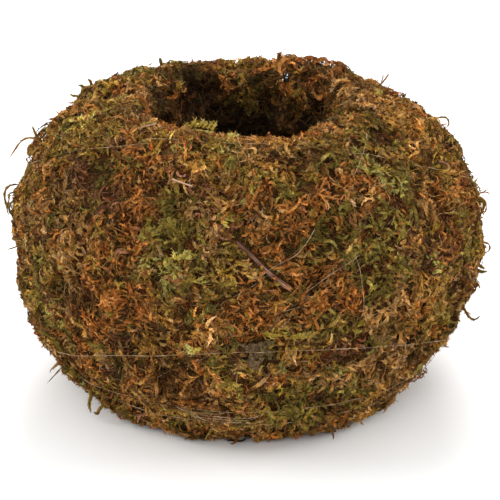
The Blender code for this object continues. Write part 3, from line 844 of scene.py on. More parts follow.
# A strand's width along it: shares of its length, and of its width there
TAPER = ((0, 0.25, 0.7, 1), (0.5, 1, 0.95, 0.35))

# The moss pressed on the floor: how far its levels differ, how much depth below them counts, and
# what share of it still shows
PRESSED_LEVELS = 0.0016
PRESSED_DEPTH = 0.0012
PRESSED_SHARE = 0.2


def keep_above_floor(points, s):
    """Lift what would reach under the flat spot, each strand to a level of its own."""
    level = FLOOR_GAP + PRESSED_LEVELS * ((s.hue * 7.3) % 1)[:, :, None]
    under = (points[..., 2:] - level).clip(-PRESSED_DEPTH, 0)
    points[..., 2:] = np.maximum(points[..., 2:], level + PRESSED_SHARE * under)
    return points


def zigzag_faces(count):
    """Triangles of a band whose points lie left and right in turn."""
    return [(i, i + 1, i + 2) if i % 2 == 0 else (i + 1, i, i + 2) for i in range(count - 2)]


def zigzag_points(middle, aside, half):
    """Points left and right of each line in turn, half a width away."""
    side = np.where(np.arange(middle.shape[1]) % 2 == 0, 1, -1)[None]
    return middle + aside * (half * side)[..., None]


def leaflet_start(number):
    """The sample where a leaflet's foot starts."""
    return 1 + round(number * (SAMPLES - 2 - LEAFLET_FOOT) / (LEAFLETS - 1))


def strand_template():
    """Faces and map places of one leafy strand: a thin spine with leaflets on both sides."""
    count = len(range(0, SAMPLES, SPINE_STEP))
    faces = zigzag_faces(count)
    places = [(0.58 - 0.16 * (i % 2 == 0), 0.94 * i / (count - 1)) for i in range(count)]
    for k in range(LEAFLETS):
        foot = len(places)
        start = 0.92 * leaflet_start(k) / SAMPLES
        left = k % 2 == 0
        inner, tip = (0.38, 0.03) if left else (0.62, 0.97)
        faces.append((foot, foot + 1, foot + 2) if left else (foot + 1, foot, foot + 2))
        places += [(inner, start), (inner, start + 0.07), (tip, start + 0.06)]
    return np.array(faces), np.array(places)


def leafy_points(middle, outward, s, chance):
    """Every vertex of every strand, in the template's order."""
    along, aside, up = strand_frames(middle, outward, s)
    size = s.width * np.interp(np.linspace(0, 1, SAMPLES), *TAPER)
    spine = slice(None, None, SPINE_STEP)
    points = [zigzag_points(middle[:, spine], aside[:, spine], size[:, spine] * SPINE_SHARE)]
    for k in range(LEAFLETS):
        foot = leaflet_start(k)
        ahead = foot + LEAFLET_FOOT
        side = 1 if k % 2 == 0 else -1
        reach, forward, curl = (
            chance.uniform(*limits, (len(middle), 1))
            for limits in (LEAFLET_REACH, LEAFLET_FORWARD, LEAFLET_CURL)
        )
        leaf = side * aside[:, ahead] * reach + along[:, ahead] * forward + up[:, ahead] * curl
        tip = middle[:, ahead] + leaf * size[:, ahead, None]
        points.append(np.stack([middle[:, foot], middle[:, ahead], tip], 1))
    return keep_above_floor(np.concatenate(points, 1), s)


FIBRE_POINTS = 12
FIBRE_SHARE = 0.6


def fibre_template():
    """Faces and map places of one bare fibre."""
    places = [(0.65 - 0.3 * (i % 2 == 0), i / (FIBRE_POINTS - 1)) for i in range(FIBRE_POINTS)]
    return np.array(zigzag_faces(FIBRE_POINTS)), np.array(places)


def fibre_points(s):
    """Every vertex of every bare fibre, in the template's order."""
    middle, outward = centre_lines(s, FIBRE_POINTS)
    _, aside, _ = strand_frames(middle, outward, s)
    return keep_above_floor(zigzag_points(middle, aside, s.width * FIBRE_SHARE), s)


def grid_quads(numbers, closed=True):
    """Four-cornered faces of a grid of point numbers, closed round its columns or open."""
    if closed:
        numbers = np.concatenate([numbers, numbers[:, :1]], 1)
    corners = numbers[:-1, :-1], numbers[:-1, 1:], numbers[1:, 1:], numbers[1:, :-1]
    return np.stack(corners, -1).reshape(-1, 4)


def tube_template(count, sides):
    """Faces and map places of one closed tube of rings."""
    ring, side = np.meshgrid(np.arange(count), np.arange(sides), indexing="ij")
    faces = grid_quads(ring * sides + side)[:, [0, 1, 2, 0, 2, 3]].reshape(-1, 3)
    first, last = count * sides, count * sides + 1
    caps = [(first, (k + 1) % sides, k) for k in range(sides)]
    end = (count - 1) * sides
    caps += [(last, end + k, end + (k + 1) % sides) for k in range(sides)]
    places = np.stack([0.05 + 0.9 * side / sides, 0.04 + 0.92 * ring / (count - 1)], -1)
    places = np.concatenate([places.reshape(-1, 2), [(0.5, 0.0), (0.5, 1.0)]])
    return np.concatenate([faces, caps]), places


def tube_points(middle, outward, radius, sides):
    """Rings of points round each line, with a middle point for each end."""
    aside, up = frames(middle, outward)[1:]
    radius = np.broadcast_to(radius, middle.shape[:2])[..., None]
    rings = []
    for k in range(sides):
        angle = -2 * math.pi * k / sides
        rings.append(middle + (aside * math.cos(angle) + up * math.sin(angle)) * radius)
    rings = np.stack(rings, 2).reshape(len(middle), -1, 3)
    return np.concatenate([rings, middle[:, :1], middle[:, -1:]], 1)


def smooth_run(controls, count):
    """Points on a smooth curve through the control points."""
    controls = np.array(controls, float)
    before, after = 2 * controls[:1] - controls[1:2], 2 * controls[-1:] - controls[-2:-1]
    padded = np.concatenate([before, controls, after])
    place = np.linspace(0, len(controls) - 1, count)
    i = np.minimum(place.astype(int), len(controls) - 2)
    u = (place - i)[:, None]
    a, b, c, d = (padded[i + k] for k in range(4))
    bend = (2 * a - 5 * b + 4 * c - d) * u**2 + (3 * b - a - 3 * c + d) * u**3
    return 0.5 * (2 * b + (c - a) * u + bend)


# Past this shade a strand gets lighter by only a share of the rest
SHADE_KNEE = 1.30
SHADE_REST = 0.42


def tints(s):
    """Each strand's colour: between its kind's three colours, with its tone and painted light and shade.
    """
    colour = np.zeros((len(s.kind), 3))
    for number, shades in enumerate(KINDS.values()):
        mine = s.kind[:, 0] == number
        for channel, values in enumerate(zip(*shades)):
            colour[mine, channel] = np.interp(s.hue[mine, 0], [0, 0.5, 1], values)
    over = np.maximum(s.shade - SHADE_KNEE, 0)
    return colour * (np.minimum(s.shade, SHADE_KNEE) + SHADE_REST * over)


# A strand's shade and cast at root and tip, the dark root being painted shade deep in the moss, its
# leaflets' tints, and how far these vary in shade, warmth and blue
ROOT_SHADE = 0.29
TIP_SHADE = 1.12
ROOT_CAST = (1.13, 0.89, 0.45)
TIP_CAST = (0.99, 1.01, 1.40)
LEAFLET_FOOT_TINT = (0.82, 0.77, 0.64)
LEAFLET_TIP_TINT = (1.18, 1.20, 1.36)
LEAFLET_JITTER = 0.36
WARMTH_JITTER = 0.16
WARMTH_CAST = (0.6, -0.2, -1.2)
BLUE_JITTER = 0.36
BLUE_CAST = (0, 0, 1)


def strand_colours(s, chance):
    """Each vertex's colour: red and dark as painted shade at the root, paler to the tips, varied by
    leaflet.
    """
    share = np.linspace(0, 1, SAMPLES)
    along = np.interp(share, [0, 0.3, 0.8, 1], [ROOT_SHADE, 1, 1.05, TIP_SHADE])
    casts = [np.interp(share, [0, 0.45, 1], [a, 1, b]) for a, b in zip(ROOT_CAST, TIP_CAST)]
    along = along[:, None] * np.stack(casts, -1)
    tint = tints(s)[:, None]
    each = (len(tint), 1, 1)
    ends = np.array([LEAFLET_FOOT_TINT, LEAFLET_FOOT_TINT, LEAFLET_TIP_TINT])
    colours = [tint * along[::SPINE_STEP][None]]
    for k in range(LEAFLETS):
        shade = along[leaflet_start(k)] * np.exp(chance.normal(0, LEAFLET_JITTER, each))
        cast = 1 + chance.normal(0, WARMTH_JITTER, each) * np.array(WARMTH_CAST)
        cast = cast * np.exp(chance.normal(0, BLUE_JITTER, each) * np.array(BLUE_CAST))
        colours.append(tint * shade * cast.clip(0.45, 2.0) * ends)
    return np.concatenate(colours, 1)


# The free edge round each strand's cell on the map
CELL_MARGIN = 0.08


def cell_places(places, count):
    """Each strand's copy of the template's places, in a square cell of its own on the map."""
    side = math.ceil(math.sqrt(count))
    number = np.arange(count)
    corner = np.stack([number % side, number // side], 1)
    return (corner[:, None] + CELL_MARGIN + places[None] * (1 - 2 * CELL_MARGIN)) / side


def add_colours(mesh, name, domain, colours):
    """Give a mesh a colour for each of its points or corners."""
    layer = mesh.color_attributes.new(name, "FLOAT_COLOR", domain)
    rgba = np.ones((len(layer.data), 4), np.float32)
    rgba[:, :3] = colours
    layer.data.foreach_set("color", rgba.ravel())


def new_mesh(name, points, faces, finish):
    mesh = bpy.data.meshes.new(name)
    mesh.from_pydata(points, [], faces)
    mesh.materials.append(finish)
    return mesh


def mesh_piece(name, template, points, colours, finish):
    """One object from many like strands: points and colours by strand, faces and map places shared."""
    faces, places = template
    count, each = points.shape[:2]
    corners = (faces[None] + np.arange(count)[:, None, None] * each).reshape(-1, 3)
    mesh = bpy.data.meshes.new(name)
    mesh.vertices.add(count * each)
    mesh.vertices.foreach_set("co", points.astype(np.float32).ravel())
    mesh.loops.add(corners.size)
    mesh.loops.foreach_set("vertex_index", corners.astype(np.int32).ravel())
    mesh.polygons.add(len(corners))
    mesh.polygons.foreach_set("loop_start", np.arange(len(corners), dtype=np.int32) * 3)
    mesh.update(calc_edges=True)
    layer = mesh.uv_layers.new(name="OFBake")
    uv = cell_places(places, count).reshape(-1, 2)[corners.ravel()]
    layer.uv.foreach_set("vector", uv.astype(np.float32).ravel())
    add_colours(mesh, "tint", "POINT", np.broadcast_to(colours, points.shape).reshape(-1, 3))
    mesh.shade_flat()
    mesh.materials.append(finish)
    return add_piece(name, mesh)


def leafy_piece(name, s, lines, chance, finish, cast=1.0):
    """One object from leafy strands along their lines, its colours times a cast."""
    points = leafy_points(*lines, s, chance)
    colours = strand_colours(s, chance) * cast
    mesh_piece(name, strand_template(), points, colours, finish)


def tube_piece(name, middle, outward, radius, sides, colours, finish, slot):
    """One object from round lines."""
    points = tube_points(middle, outward, radius, sides)
    return mesh_piece(name, tube_template(middle.shape[1], sides), points, colours, finish)


def thicken(piece, thickness):
    piece.modifiers.new("thickness", "SOLIDIFY").thickness = thickness


def placed(name, data):
    """A new object in the scene."""
    made = bpy.data.objects.new(name, data)
    bpy.context.scene.collection.objects.link(made)
    return made


def add_piece(name, mesh):
    """An object that rides with the ball."""
    piece = placed(name, mesh)
    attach(piece, "root")
    return piece


def set_inputs(made, **values):
    """Values of a node's inputs, in whose names a _ stands for a blank."""
    for name, value in values.items():
        made.inputs[name.replace("_", " ")].default_value = value


def new_material(name, roughness, specular=0.5):
    made = bpy.data.materials.new(name)
    made.use_nodes = True
    shader = made.node_tree.nodes["Principled BSDF"]
    set_inputs(shader, Roughness=roughness, Specular_IOR_Level=specular)
    return made, shader


def node(tree, kind, **settings):
    made = tree.nodes.new("ShaderNode" + kind)
    for name, value in settings.items():
        setattr(made, name, value)
    return made


def noise_node(tree, scale, detail=3.0, distortion=0.0):
    """A noise pattern over the object, by its waves per metre."""
    place = node(tree, "TexCoord")
    made = node(tree, "TexNoise")
    set_inputs(made, Scale=scale, Detail=detail, Distortion=distortion)
    tree.links.new(place.outputs["Object"], made.inputs["Vector"])
    return made.outputs["Fac"]


def ranged(tree, pattern, low, high):
    """A noise pattern's usual values, from 0.3 to 0.7, brought to a range."""
    made = node(tree, "MapRange")
    set_inputs(made, From_Min=0.3, From_Max=0.7, To_Min=low, To_Max=high)
    tree.links.new(pattern, made.inputs["Value"])
    return made.outputs["Result"]


def bump(tree, shader, height, strength, distance):
    made = node(tree, "Bump")
    set_inputs(made, Strength=strength, Distance=distance)
    tree.links.new(height, made.inputs["Height"])
    tree.links.new(made.outputs["Normal"], shader.inputs["Normal"])


def ramp_node(tree, source, stops):
    """A colour ramp fed by a value; each stop is a position and a colour."""
    made = node(tree, "ValToRGB")
    elements = made.color_ramp.elements
    elements[0].position, elements[0].color = stops[0][0], (*stops[0][1], 1)
    elements[1].position, elements[1].color = stops[-1][0], (*stops[-1][1], 1)
    for position, colour in stops[1:-1]:
        elements.new(position).color = (*colour, 1)
    tree.links.new(source, made.inputs["Fac"])
    return made.outputs["Color"]


def patterned(
    name, roughness, specular, pattern, hues=(), casts=(), tint="", fleck=0, relief=(), rough=()
):
    """A finish from a noise pattern: its scale, detail and distortion. The colour is the product of
    hues along the pattern, casts along another one, the mesh's own tint and flecks. Relief is a
    bump's strength and distance, and a pattern if it has its own. Rough is a range of roughness.
    """
    made, shader = new_material(name, roughness, specular)
    tree = made.node_tree
    grain = noise_node(tree, *pattern)
    factors = [ramp_node(tree, grain, hues)] if hues else []
    if casts:
        factors.append(ramp_node(tree, noise_node(tree, *casts[0]), casts[1]))
    if tint:
        factors.append(node(tree, "Attribute", attribute_name=tint).outputs["Color"])
    if fleck:
        factors.append(ranged(tree, grain, 1 - fleck, 1 + fleck))
    colour = factors[0]
    for factor in factors[1:]:
        product = node(tree, "VectorMath", operation="MULTIPLY")
        tree.links.new(colour, product.inputs[0])
        tree.links.new(factor, product.inputs[1])
        colour = product.outputs["Vector"]
    tree.links.new(colour, shader.inputs["Base Color"])
    if relief:
        strength, distance, *own = relief
        bump(tree, shader, noise_node(tree, *own[0]) if own else grain, strength, distance)
    if rough:
        tree.links.new(ranged(tree, grain, *rough), shader.inputs["Roughness"])
    return made


def moss_material(name, fleck, roughness):
    """A strand's tint, with its painted light and shade, flecks finer than a leaflet, ribbed lengthwise.
    """
    return patterned(
        name, roughness, 0.12, (1400, 2.0), tint="tint", fleck=fleck,
        relief=(0.35, 0.0003, (3200, 1.0)), rough=(roughness - 0.12, roughness + 0.1),
    )


def bed_material():
    """Matted old moss between the strands: rust, straw and olive crumbs on near-black painted shade."""
    crumbs = ((0.34, (0.006, 0.002, 0.001)), (0.46, (0.045, 0.017, 0.005)),
              (0.56, (0.130, 0.060, 0.015)), (0.68, (0.250, 0.138, 0.040)))
    patches = ((0.36, (1.15, 0.72, 0.55)), (0.50, (1.0, 1.0, 1.0)), (0.64, (0.80, 1.05, 0.75)))
    return patterned(
        "matted_moss", 0.95, 0.1, (760, 5.0, 2.5), hues=crumbs, casts=((150, 3.0, 0.5), patches),
        tint="shade", relief=(1.0, 0.0016),
    )


def thread_material():
    """Fine clear nylon, which takes the brown of the moss behind it."""
    hues = ((0.35, (0.15, 0.088, 0.040)), (0.52, (0.31, 0.208, 0.112)), (0.68, (0.56, 0.42, 0.27)))
    return patterned("nylon_thread", 0.45, 0.08, (260, 2.0), hues=hues, rough=(0.35, 0.6))


def film_material():
    """Thin black plastic film, creased where it was pushed into the hole."""
    shades = ((0.35, (0.004, 0.004, 0.003)), (0.70, (0.014, 0.012, 0.010)))
    made = patterned(
        "black_film", 0.5, 0.2, (55, 3.0, 1.8), hues=shades, relief=(0.8, 0.004), rough=(0.28, 0.6),
    )
    set_inputs(made.node_tree.nodes["Principled BSDF"], Specular_Tint=(0.5, 0.34, 0.2, 1))
    return made


def fibre_material():
    """Packed coarse fibre inside the ball."""
    hues = ((0.35, (0.035, 0.016, 0.006)), (0.55, (0.130, 0.070, 0.028)), (0.72, (0.260, 0.150, 0.070)))
    return patterned("packed_fibre", 0.95, 0.1, (350, 4.0, 2.0), hues=hues, relief=(1.0, 0.001))


def bark_material():
    """The twig's tint, which holds its streaks, torn wood and painted shade and highlight, with a fine
    grain.
    """
    return patterned("twig_bark", 0.8, 0.2, (1800, 2.0), tint="tint", fleck=0.2, relief=(0.4, 0.0002))


def leaf_material():
    """Old leaf gone grey-olive, with a mauve cast and darker veins and spots."""
    hues = ((0.34, (0.018, 0.010, 0.005)), (0.46, (0.062, 0.039, 0.016)),
            (0.56, (0.102, 0.067, 0.027)), (0.68, (0.170, 0.110, 0.048)))
    casts = ((0.40, (1.04, 0.93, 0.96)), (0.60, (0.92, 1.00, 0.74)))
    return patterned(
        "dead_leaf", 0.85, 0.2, (800, 5.0, 1.2), hues=hues, casts=((130, 1.0), casts),
        relief=(0.6, 0.0006),
    )


# The bed: how deep it lies, less under the ball, its grid, and how far its fibres stand out
BED_DEPTH = 0.0019
BED_DEPTH_UNDER = 0.25
BED_UNDER_TO = -0.95
BED_START = 0.0005
BED_ROWS = 130
BED_COLUMNS = 230
BED_FIBRE = 0.0009
BED_FIBRE_SIZE = 0.004


def make_bed():
    """The matted surface that the strands grow from, closed under the ball and at the hole."""
    travel, bearing = skin_grid(BED_START, BED_ROWS, BED_COLUMNS)
    out = np.clip(travel / travel_at(BED_UNDER_TO), 0, 1) ** 6
    depth = BED_DEPTH * (BED_DEPTH_UNDER + (1 - BED_DEPTH_UNDER) * out) + relief_at(travel, bearing)
    flat = on_skin(travel, bearing, 0)[0].reshape(-1, 3)
    fibres = np.array([noise.fractal(Vector(p) / BED_FIBRE_SIZE, 1.0, 2.0, 3) for p in flat])
    depth = depth + BED_FIBRE * fibres.reshape(depth.shape) * out
    points = on_skin(travel, bearing, -depth)[0].reshape(-1, 3)
    points[:, 2] = np.maximum(points[:, 2], FLOOR_GAP)
    grid = np.arange(BED_ROWS * BED_COLUMNS).reshape(BED_ROWS, BED_COLUMNS)
    faces = grid_quads(grid).tolist() + [grid[0][::-1].tolist()]
    mesh = new_mesh("moss_bed", points.tolist(), faces, bed_material())
    mesh.shade_smooth()
    # The bed's colour carries the painted shade of the hole and the painted light and shade of the moss
    lit = (1 - painted_hole_shade(travel, bearing)).reshape(-1) * painted_light_and_tone_at(flat)
    add_colours(mesh, "shade", "POINT", lit[:, None])
    bed = add_piece("moss_bed", mesh)
    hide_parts("moss_jacket")


def make_moss():
    """The leafy strands, one piece for each kind of moss."""
    chance = np.random.default_rng(SEED)
    rows = clear_of_twig_and_leaf(grow_moss(chance))
    kind = rows[:, COLUMNS.index("kind")]
    for number, name in enumerate(KIND_NAMES):
        name = name + "_moss"
        s = columns_of(rows[kind == number])
        leafy_piece(name, s, centre_lines(s, SAMPLES, CRINKLE), chance, moss_material(name, 0.50, 0.85))


def make_fibres():
    """Loose fibres, which share one piece."""
    chance = np.random.default_rng(SEED + 1)
    s = columns_of(clear_of_twig_and_leaf(grow_fibres(chance)))
    colours = tints(s)[:, None] * np.linspace(0.75, 1.2, FIBRE_POINTS)[None, :, None]
    finish = moss_material("moss_fibres", 0.15, 0.75)
    mesh_piece("moss_fibres", fibre_template(), fibre_points(s), colours, finish)


# The thread's radius, and how far each turn stands out
THREAD_RADIUS = 0.00011
THREAD_RISES = (-0.0003, -0.0009, -0.0016, -0.0016, -0.0005, -0.0006, -0.0016)
# How far each turn follows the relief down, from 0 for a turn that bridges the creases
THREAD_FOLLOWS = (0.0, 0.3, 1.0, 1.0, 0.3, 0.3, 1.0)
# How far the thread strays up and down, and over what size
THREAD_PLAY = 0.0010
THREAD_PLAY_SIZE = 0.018
THREAD_POINTS = 220
THREAD_SIDES = 5


def make_thread():
    """The turns of thread on the model's routes, as thin as the photograph shows them."""
    bearing = np.linspace(0, 2 * math.pi, THREAD_POINTS)[None]
    station = np.concatenate([thread_station(turn, bearing) for turn in THREAD_TURNS])
    travel, bearing = travel_at(station), np.repeat(bearing, len(station), 0)
    flat = on_skin(travel, bearing, 0)[0]
    play = patch_noise(flat.reshape(-1, 3), THREAD_PLAY_SIZE, 41).reshape(travel.shape)
    follow = np.array(THREAD_FOLLOWS)[:, None] * np.maximum(relief_at(travel, bearing), 0)
    rise = np.array(THREAD_RISES)[:, None] + THREAD_PLAY * play - follow
    line = (*on_skin(travel, bearing, rise), THREAD_RADIUS, THREAD_SIDES)
    piece = tube_piece("nylon_thread", *line, 1.0, thread_material(), "nylon")
    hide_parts("binding_thread")


# Short runs of thread that come up out of the moss: bearings, and heights in millimetres
SHORT_THREADS = (
    ((54, 132.5), (43, 128.5), (33, 122.5)),
    ((1.2, 90), (6.8, 96), (12.5, 100.3), (18, 109)),
    ((13, 84), (20, 91), (28, 96)),
    ((29, 69), (33, 70.5), (36, 72)),
    ((27, 96), (27.5, 83), (28, 69)),
    ((-19, 23), (-8, 22), (4, 21)),
    ((-17, 20.5), (-7, 20.5), (3, 19.5)),
    ((-14, 19), (-6, 18.8), (6, 17.8)),
    ((-20, 24.5), (-12, 23.5), (-5, 23.8)),
    ((-44, 132), (-28, 133.5), (-12, 133.8)),
)
SHORT_THREAD_POINTS = 24
SHORT_THREAD_RISE = 0.0008
SHORT_THREAD_SINK = 0.0022


def make_short_threads():
    """The short runs of thread, each sunk in the moss at both ends."""
    share = np.linspace(-1, 1, SHORT_THREAD_POINTS)
    rise = SHORT_THREAD_RISE - SHORT_THREAD_SINK * share**6
    lines = []
    for run in SHORT_THREADS:
        places = smooth_run([(math.radians(b), travel_at_height(h)) for b, h in run], len(share))
        lines.append(on_skin(places[:, 1], places[:, 0], rise))
    line = (*(np.array(part) for part in zip(*lines)), THREAD_RADIUS, THREAD_SIDES)
    tube_piece("thread_ends", *line, 1.0, bpy.data.materials["nylon_thread"], "nylon")


# The twig's radius at both ends, from where along it it is torn and how far, and its mesh
TWIG_RADII = (0.00085, 0.00108)
TWIG_TORN_FROM = 0.90
TWIG_TEAR = 0.0016
TWIG_SIDES = 24
TWIG_RINGS = 60
TWIG_RIBS = 9
# The side that the streaks lie on, where they are partly painted highlight: where round the twig,
# from its upper edge towards the ball
STREAK_SIDE = 1.4 * math.pi
BARK_COLOUR = (0.100, 0.036, 0.018)
STREAK_COLOUR = (0.600, 0.340, 0.235)
# The dark edge, painted shade on one side: where round the twig and how wide, and how much of the
# colour is left there
SHADED_SIDE = 1.92 * math.pi
SHADED_SIDE_WIDTH = 0.5
SHADED_SIDE_LEFT = 0.18
WOOD_COLOUR = (0.360, 0.160, 0.055)
WOOD_EASING = 0.07


def make_twig():
    """The caught twig: ribbed bark with pale streaks and painted shade and highlight, torn at its thick
    end.
    """
    middle = twig_line(TWIG_RISE, TWIG_RINGS)[None]
    outward = unit(middle - np.array([0, 0, BELT_HEIGHT]))
    share = np.linspace(0, 1, TWIG_RINGS)
    down = share[:, None]
    taper = np.interp(share, [0, 0.05, 0.95, 1], [0.35, 1, 1, 0.8])
    radius = np.interp(share, [0, 1], TWIG_RADII) * taper
    points = tube_points(middle, outward, radius[None], TWIG_SIDES)
    body = points[0, :-2].reshape(TWIG_RINGS, TWIG_SIDES, 3)
    angle = 2 * math.pi * np.arange(TWIG_SIDES) / TWIG_SIDES
    rib = np.cos(TWIG_RIBS * angle[None] + 1.3 * np.sin(down * 9))
    body += (body - middle[0][:, None]) * (0.12 * rib + 0.06 * np.sin(down * 31))[..., None]
    torn = (down > TWIG_TORN_FROM) * (0.5 + 0.5 * np.sin(angle * 5))[None] * TWIG_TEAR
    body += torn[..., None] * unit(middle[0, -1] - middle[0, -2])
    points[0, :-2] = body.reshape(-1, 3)
    # Pale streaks on one side: bark streaks, and painted highlight too
    streak = np.clip(0.9 * rib + 0.30 * np.sin(down * 23), 0, 1) ** 2
    streak = streak * np.clip(0.15 + 0.85 * np.cos(angle - STREAK_SIDE), 0, 1)[None]
    streak = (streak * np.interp(down, [0, 0.3, 0.6], [0.25, 0.6, 1]))[..., None]
    bark = np.array(BARK_COLOUR) * (1 - streak) + np.array(STREAK_COLOUR) * streak
    # Painted shade along one side of the twig
    dark = bell((angle - SHADED_SIDE + math.pi) % (2 * math.pi), math.pi, SHADED_SIDE_WIDTH)
    bark = bark * (1 - (1 - SHADED_SIDE_LEFT) * dark)[None, :, None]
    bark = bark * np.interp(down, [0, 0.25, 0.5], [0.7, 0.8, 1])[..., None]
    wood = eased(down, TWIG_TORN_FROM, WOOD_EASING)[..., None]
    colours = (bark * (1 - wood) + np.array(WOOD_COLOUR) * wood).reshape(1, -1, 3)
    colours = np.concatenate([colours, colours[:, :1], colours[:, -1:]], 1)
    template = tube_template(TWIG_RINGS, TWIG_SIDES)
    piece = mesh_piece("caught_twig", template, points, colours, bark_material())
    piece.data.shade_smooth()
    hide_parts("twig")


# The torn leaf's outline and holes, in millimetres on the flat leaf
LEAF_OUTLINE = (
    (-7.6, 7.2), (-3.5, 6.3), (0.5, 6.6), (4.0, 7.4), (8.0, 7.6), (7.2, 4.0), (8.2, 1.0),
    (6.8, -2.4), (4.2, -1.6), (2.6, -4.0), (0.6, -7.4), (-2.6, -6.2), (-3.6, -2.4),
    (-2.2, 0.4), (-4.2, 3.4),
)
LEAF_HOLES = (
    (1.6, 2.2, 0.5), (2.3, 3.2, 0.5), (3.0, 4.1, 0.45), (4.6, 2.4, 0.5), (5.2, 3.5, 0.55),
    (5.8, 4.5, 0.45), (4.4, -0.2, 1.0), (1.2, -1.6, 0.6), (5.6, -0.6, 0.7),
)
# The leaf's grid, reach and fray and the sizes of its fray and ripple, in millimetres too
LEAF_CELL = 0.38
LEAF_REACH = 9
LEAF_FRAY = 0.9
LEAF_FRAY_SIZE = 1.1
LEAF_RIPPLE_SIZE = 2.6
# How far it ripples and how thick it is, in metres
LEAF_RIPPLE = 0.0009
LEAF_THICKNESS = 0.0003


def inside_outline(x, y, outline):
    """Whether a point lies inside a closed outline."""
    inside = False
    for (ax, ay), (bx, by) in zip(outline, outline[1:] + outline[:1]):
        if (ay > y) != (by > y) and x < ax + (y - ay) / (by - ay) * (bx - ax):
            inside = not inside
    return inside


def make_leaf():
    """A torn, holed piece of leaf, lying on the moss under the thread."""
    cells = int(LEAF_REACH / LEAF_CELL)
    points, faces, index = [], [], {}

    def corner(i, j):
        if (i, j) not in index:
            x, y = i * LEAF_CELL, j * LEAF_CELL
            ripple = noise.noise(Vector((x, y, 3)) / LEAF_RIPPLE_SIZE) * LEAF_RIPPLE
            index[i, j] = len(points)
            points.append(tuple(leaf_point(x / 1000, y / 1000, ripple)))
        return index[i, j]

    for i in range(-cells, cells):
        for j in range(-cells, cells):
            x, y = (i + 0.5) * LEAF_CELL, (j + 0.5) * LEAF_CELL
            fray = noise.noise(Vector((x, y, 8)) / LEAF_FRAY_SIZE) * LEAF_FRAY
            holed = any(math.hypot(x - hx, y - hy) < reach + fray / 2 for hx, hy, reach in LEAF_HOLES)
            if inside_outline(x + fray, y + fray, LEAF_OUTLINE) and not holed:
                faces.append([corner(i, j), corner(i + 1, j), corner(i + 1, j + 1), corner(i, j + 1)])
    mesh = new_mesh("torn_leaf", points, faces, leaf_material())
    mesh.shade_smooth()
    leaf = add_piece("torn_leaf", mesh)
    thicken(leaf, LEAF_THICKNESS)
    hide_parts("leaf_fragment")


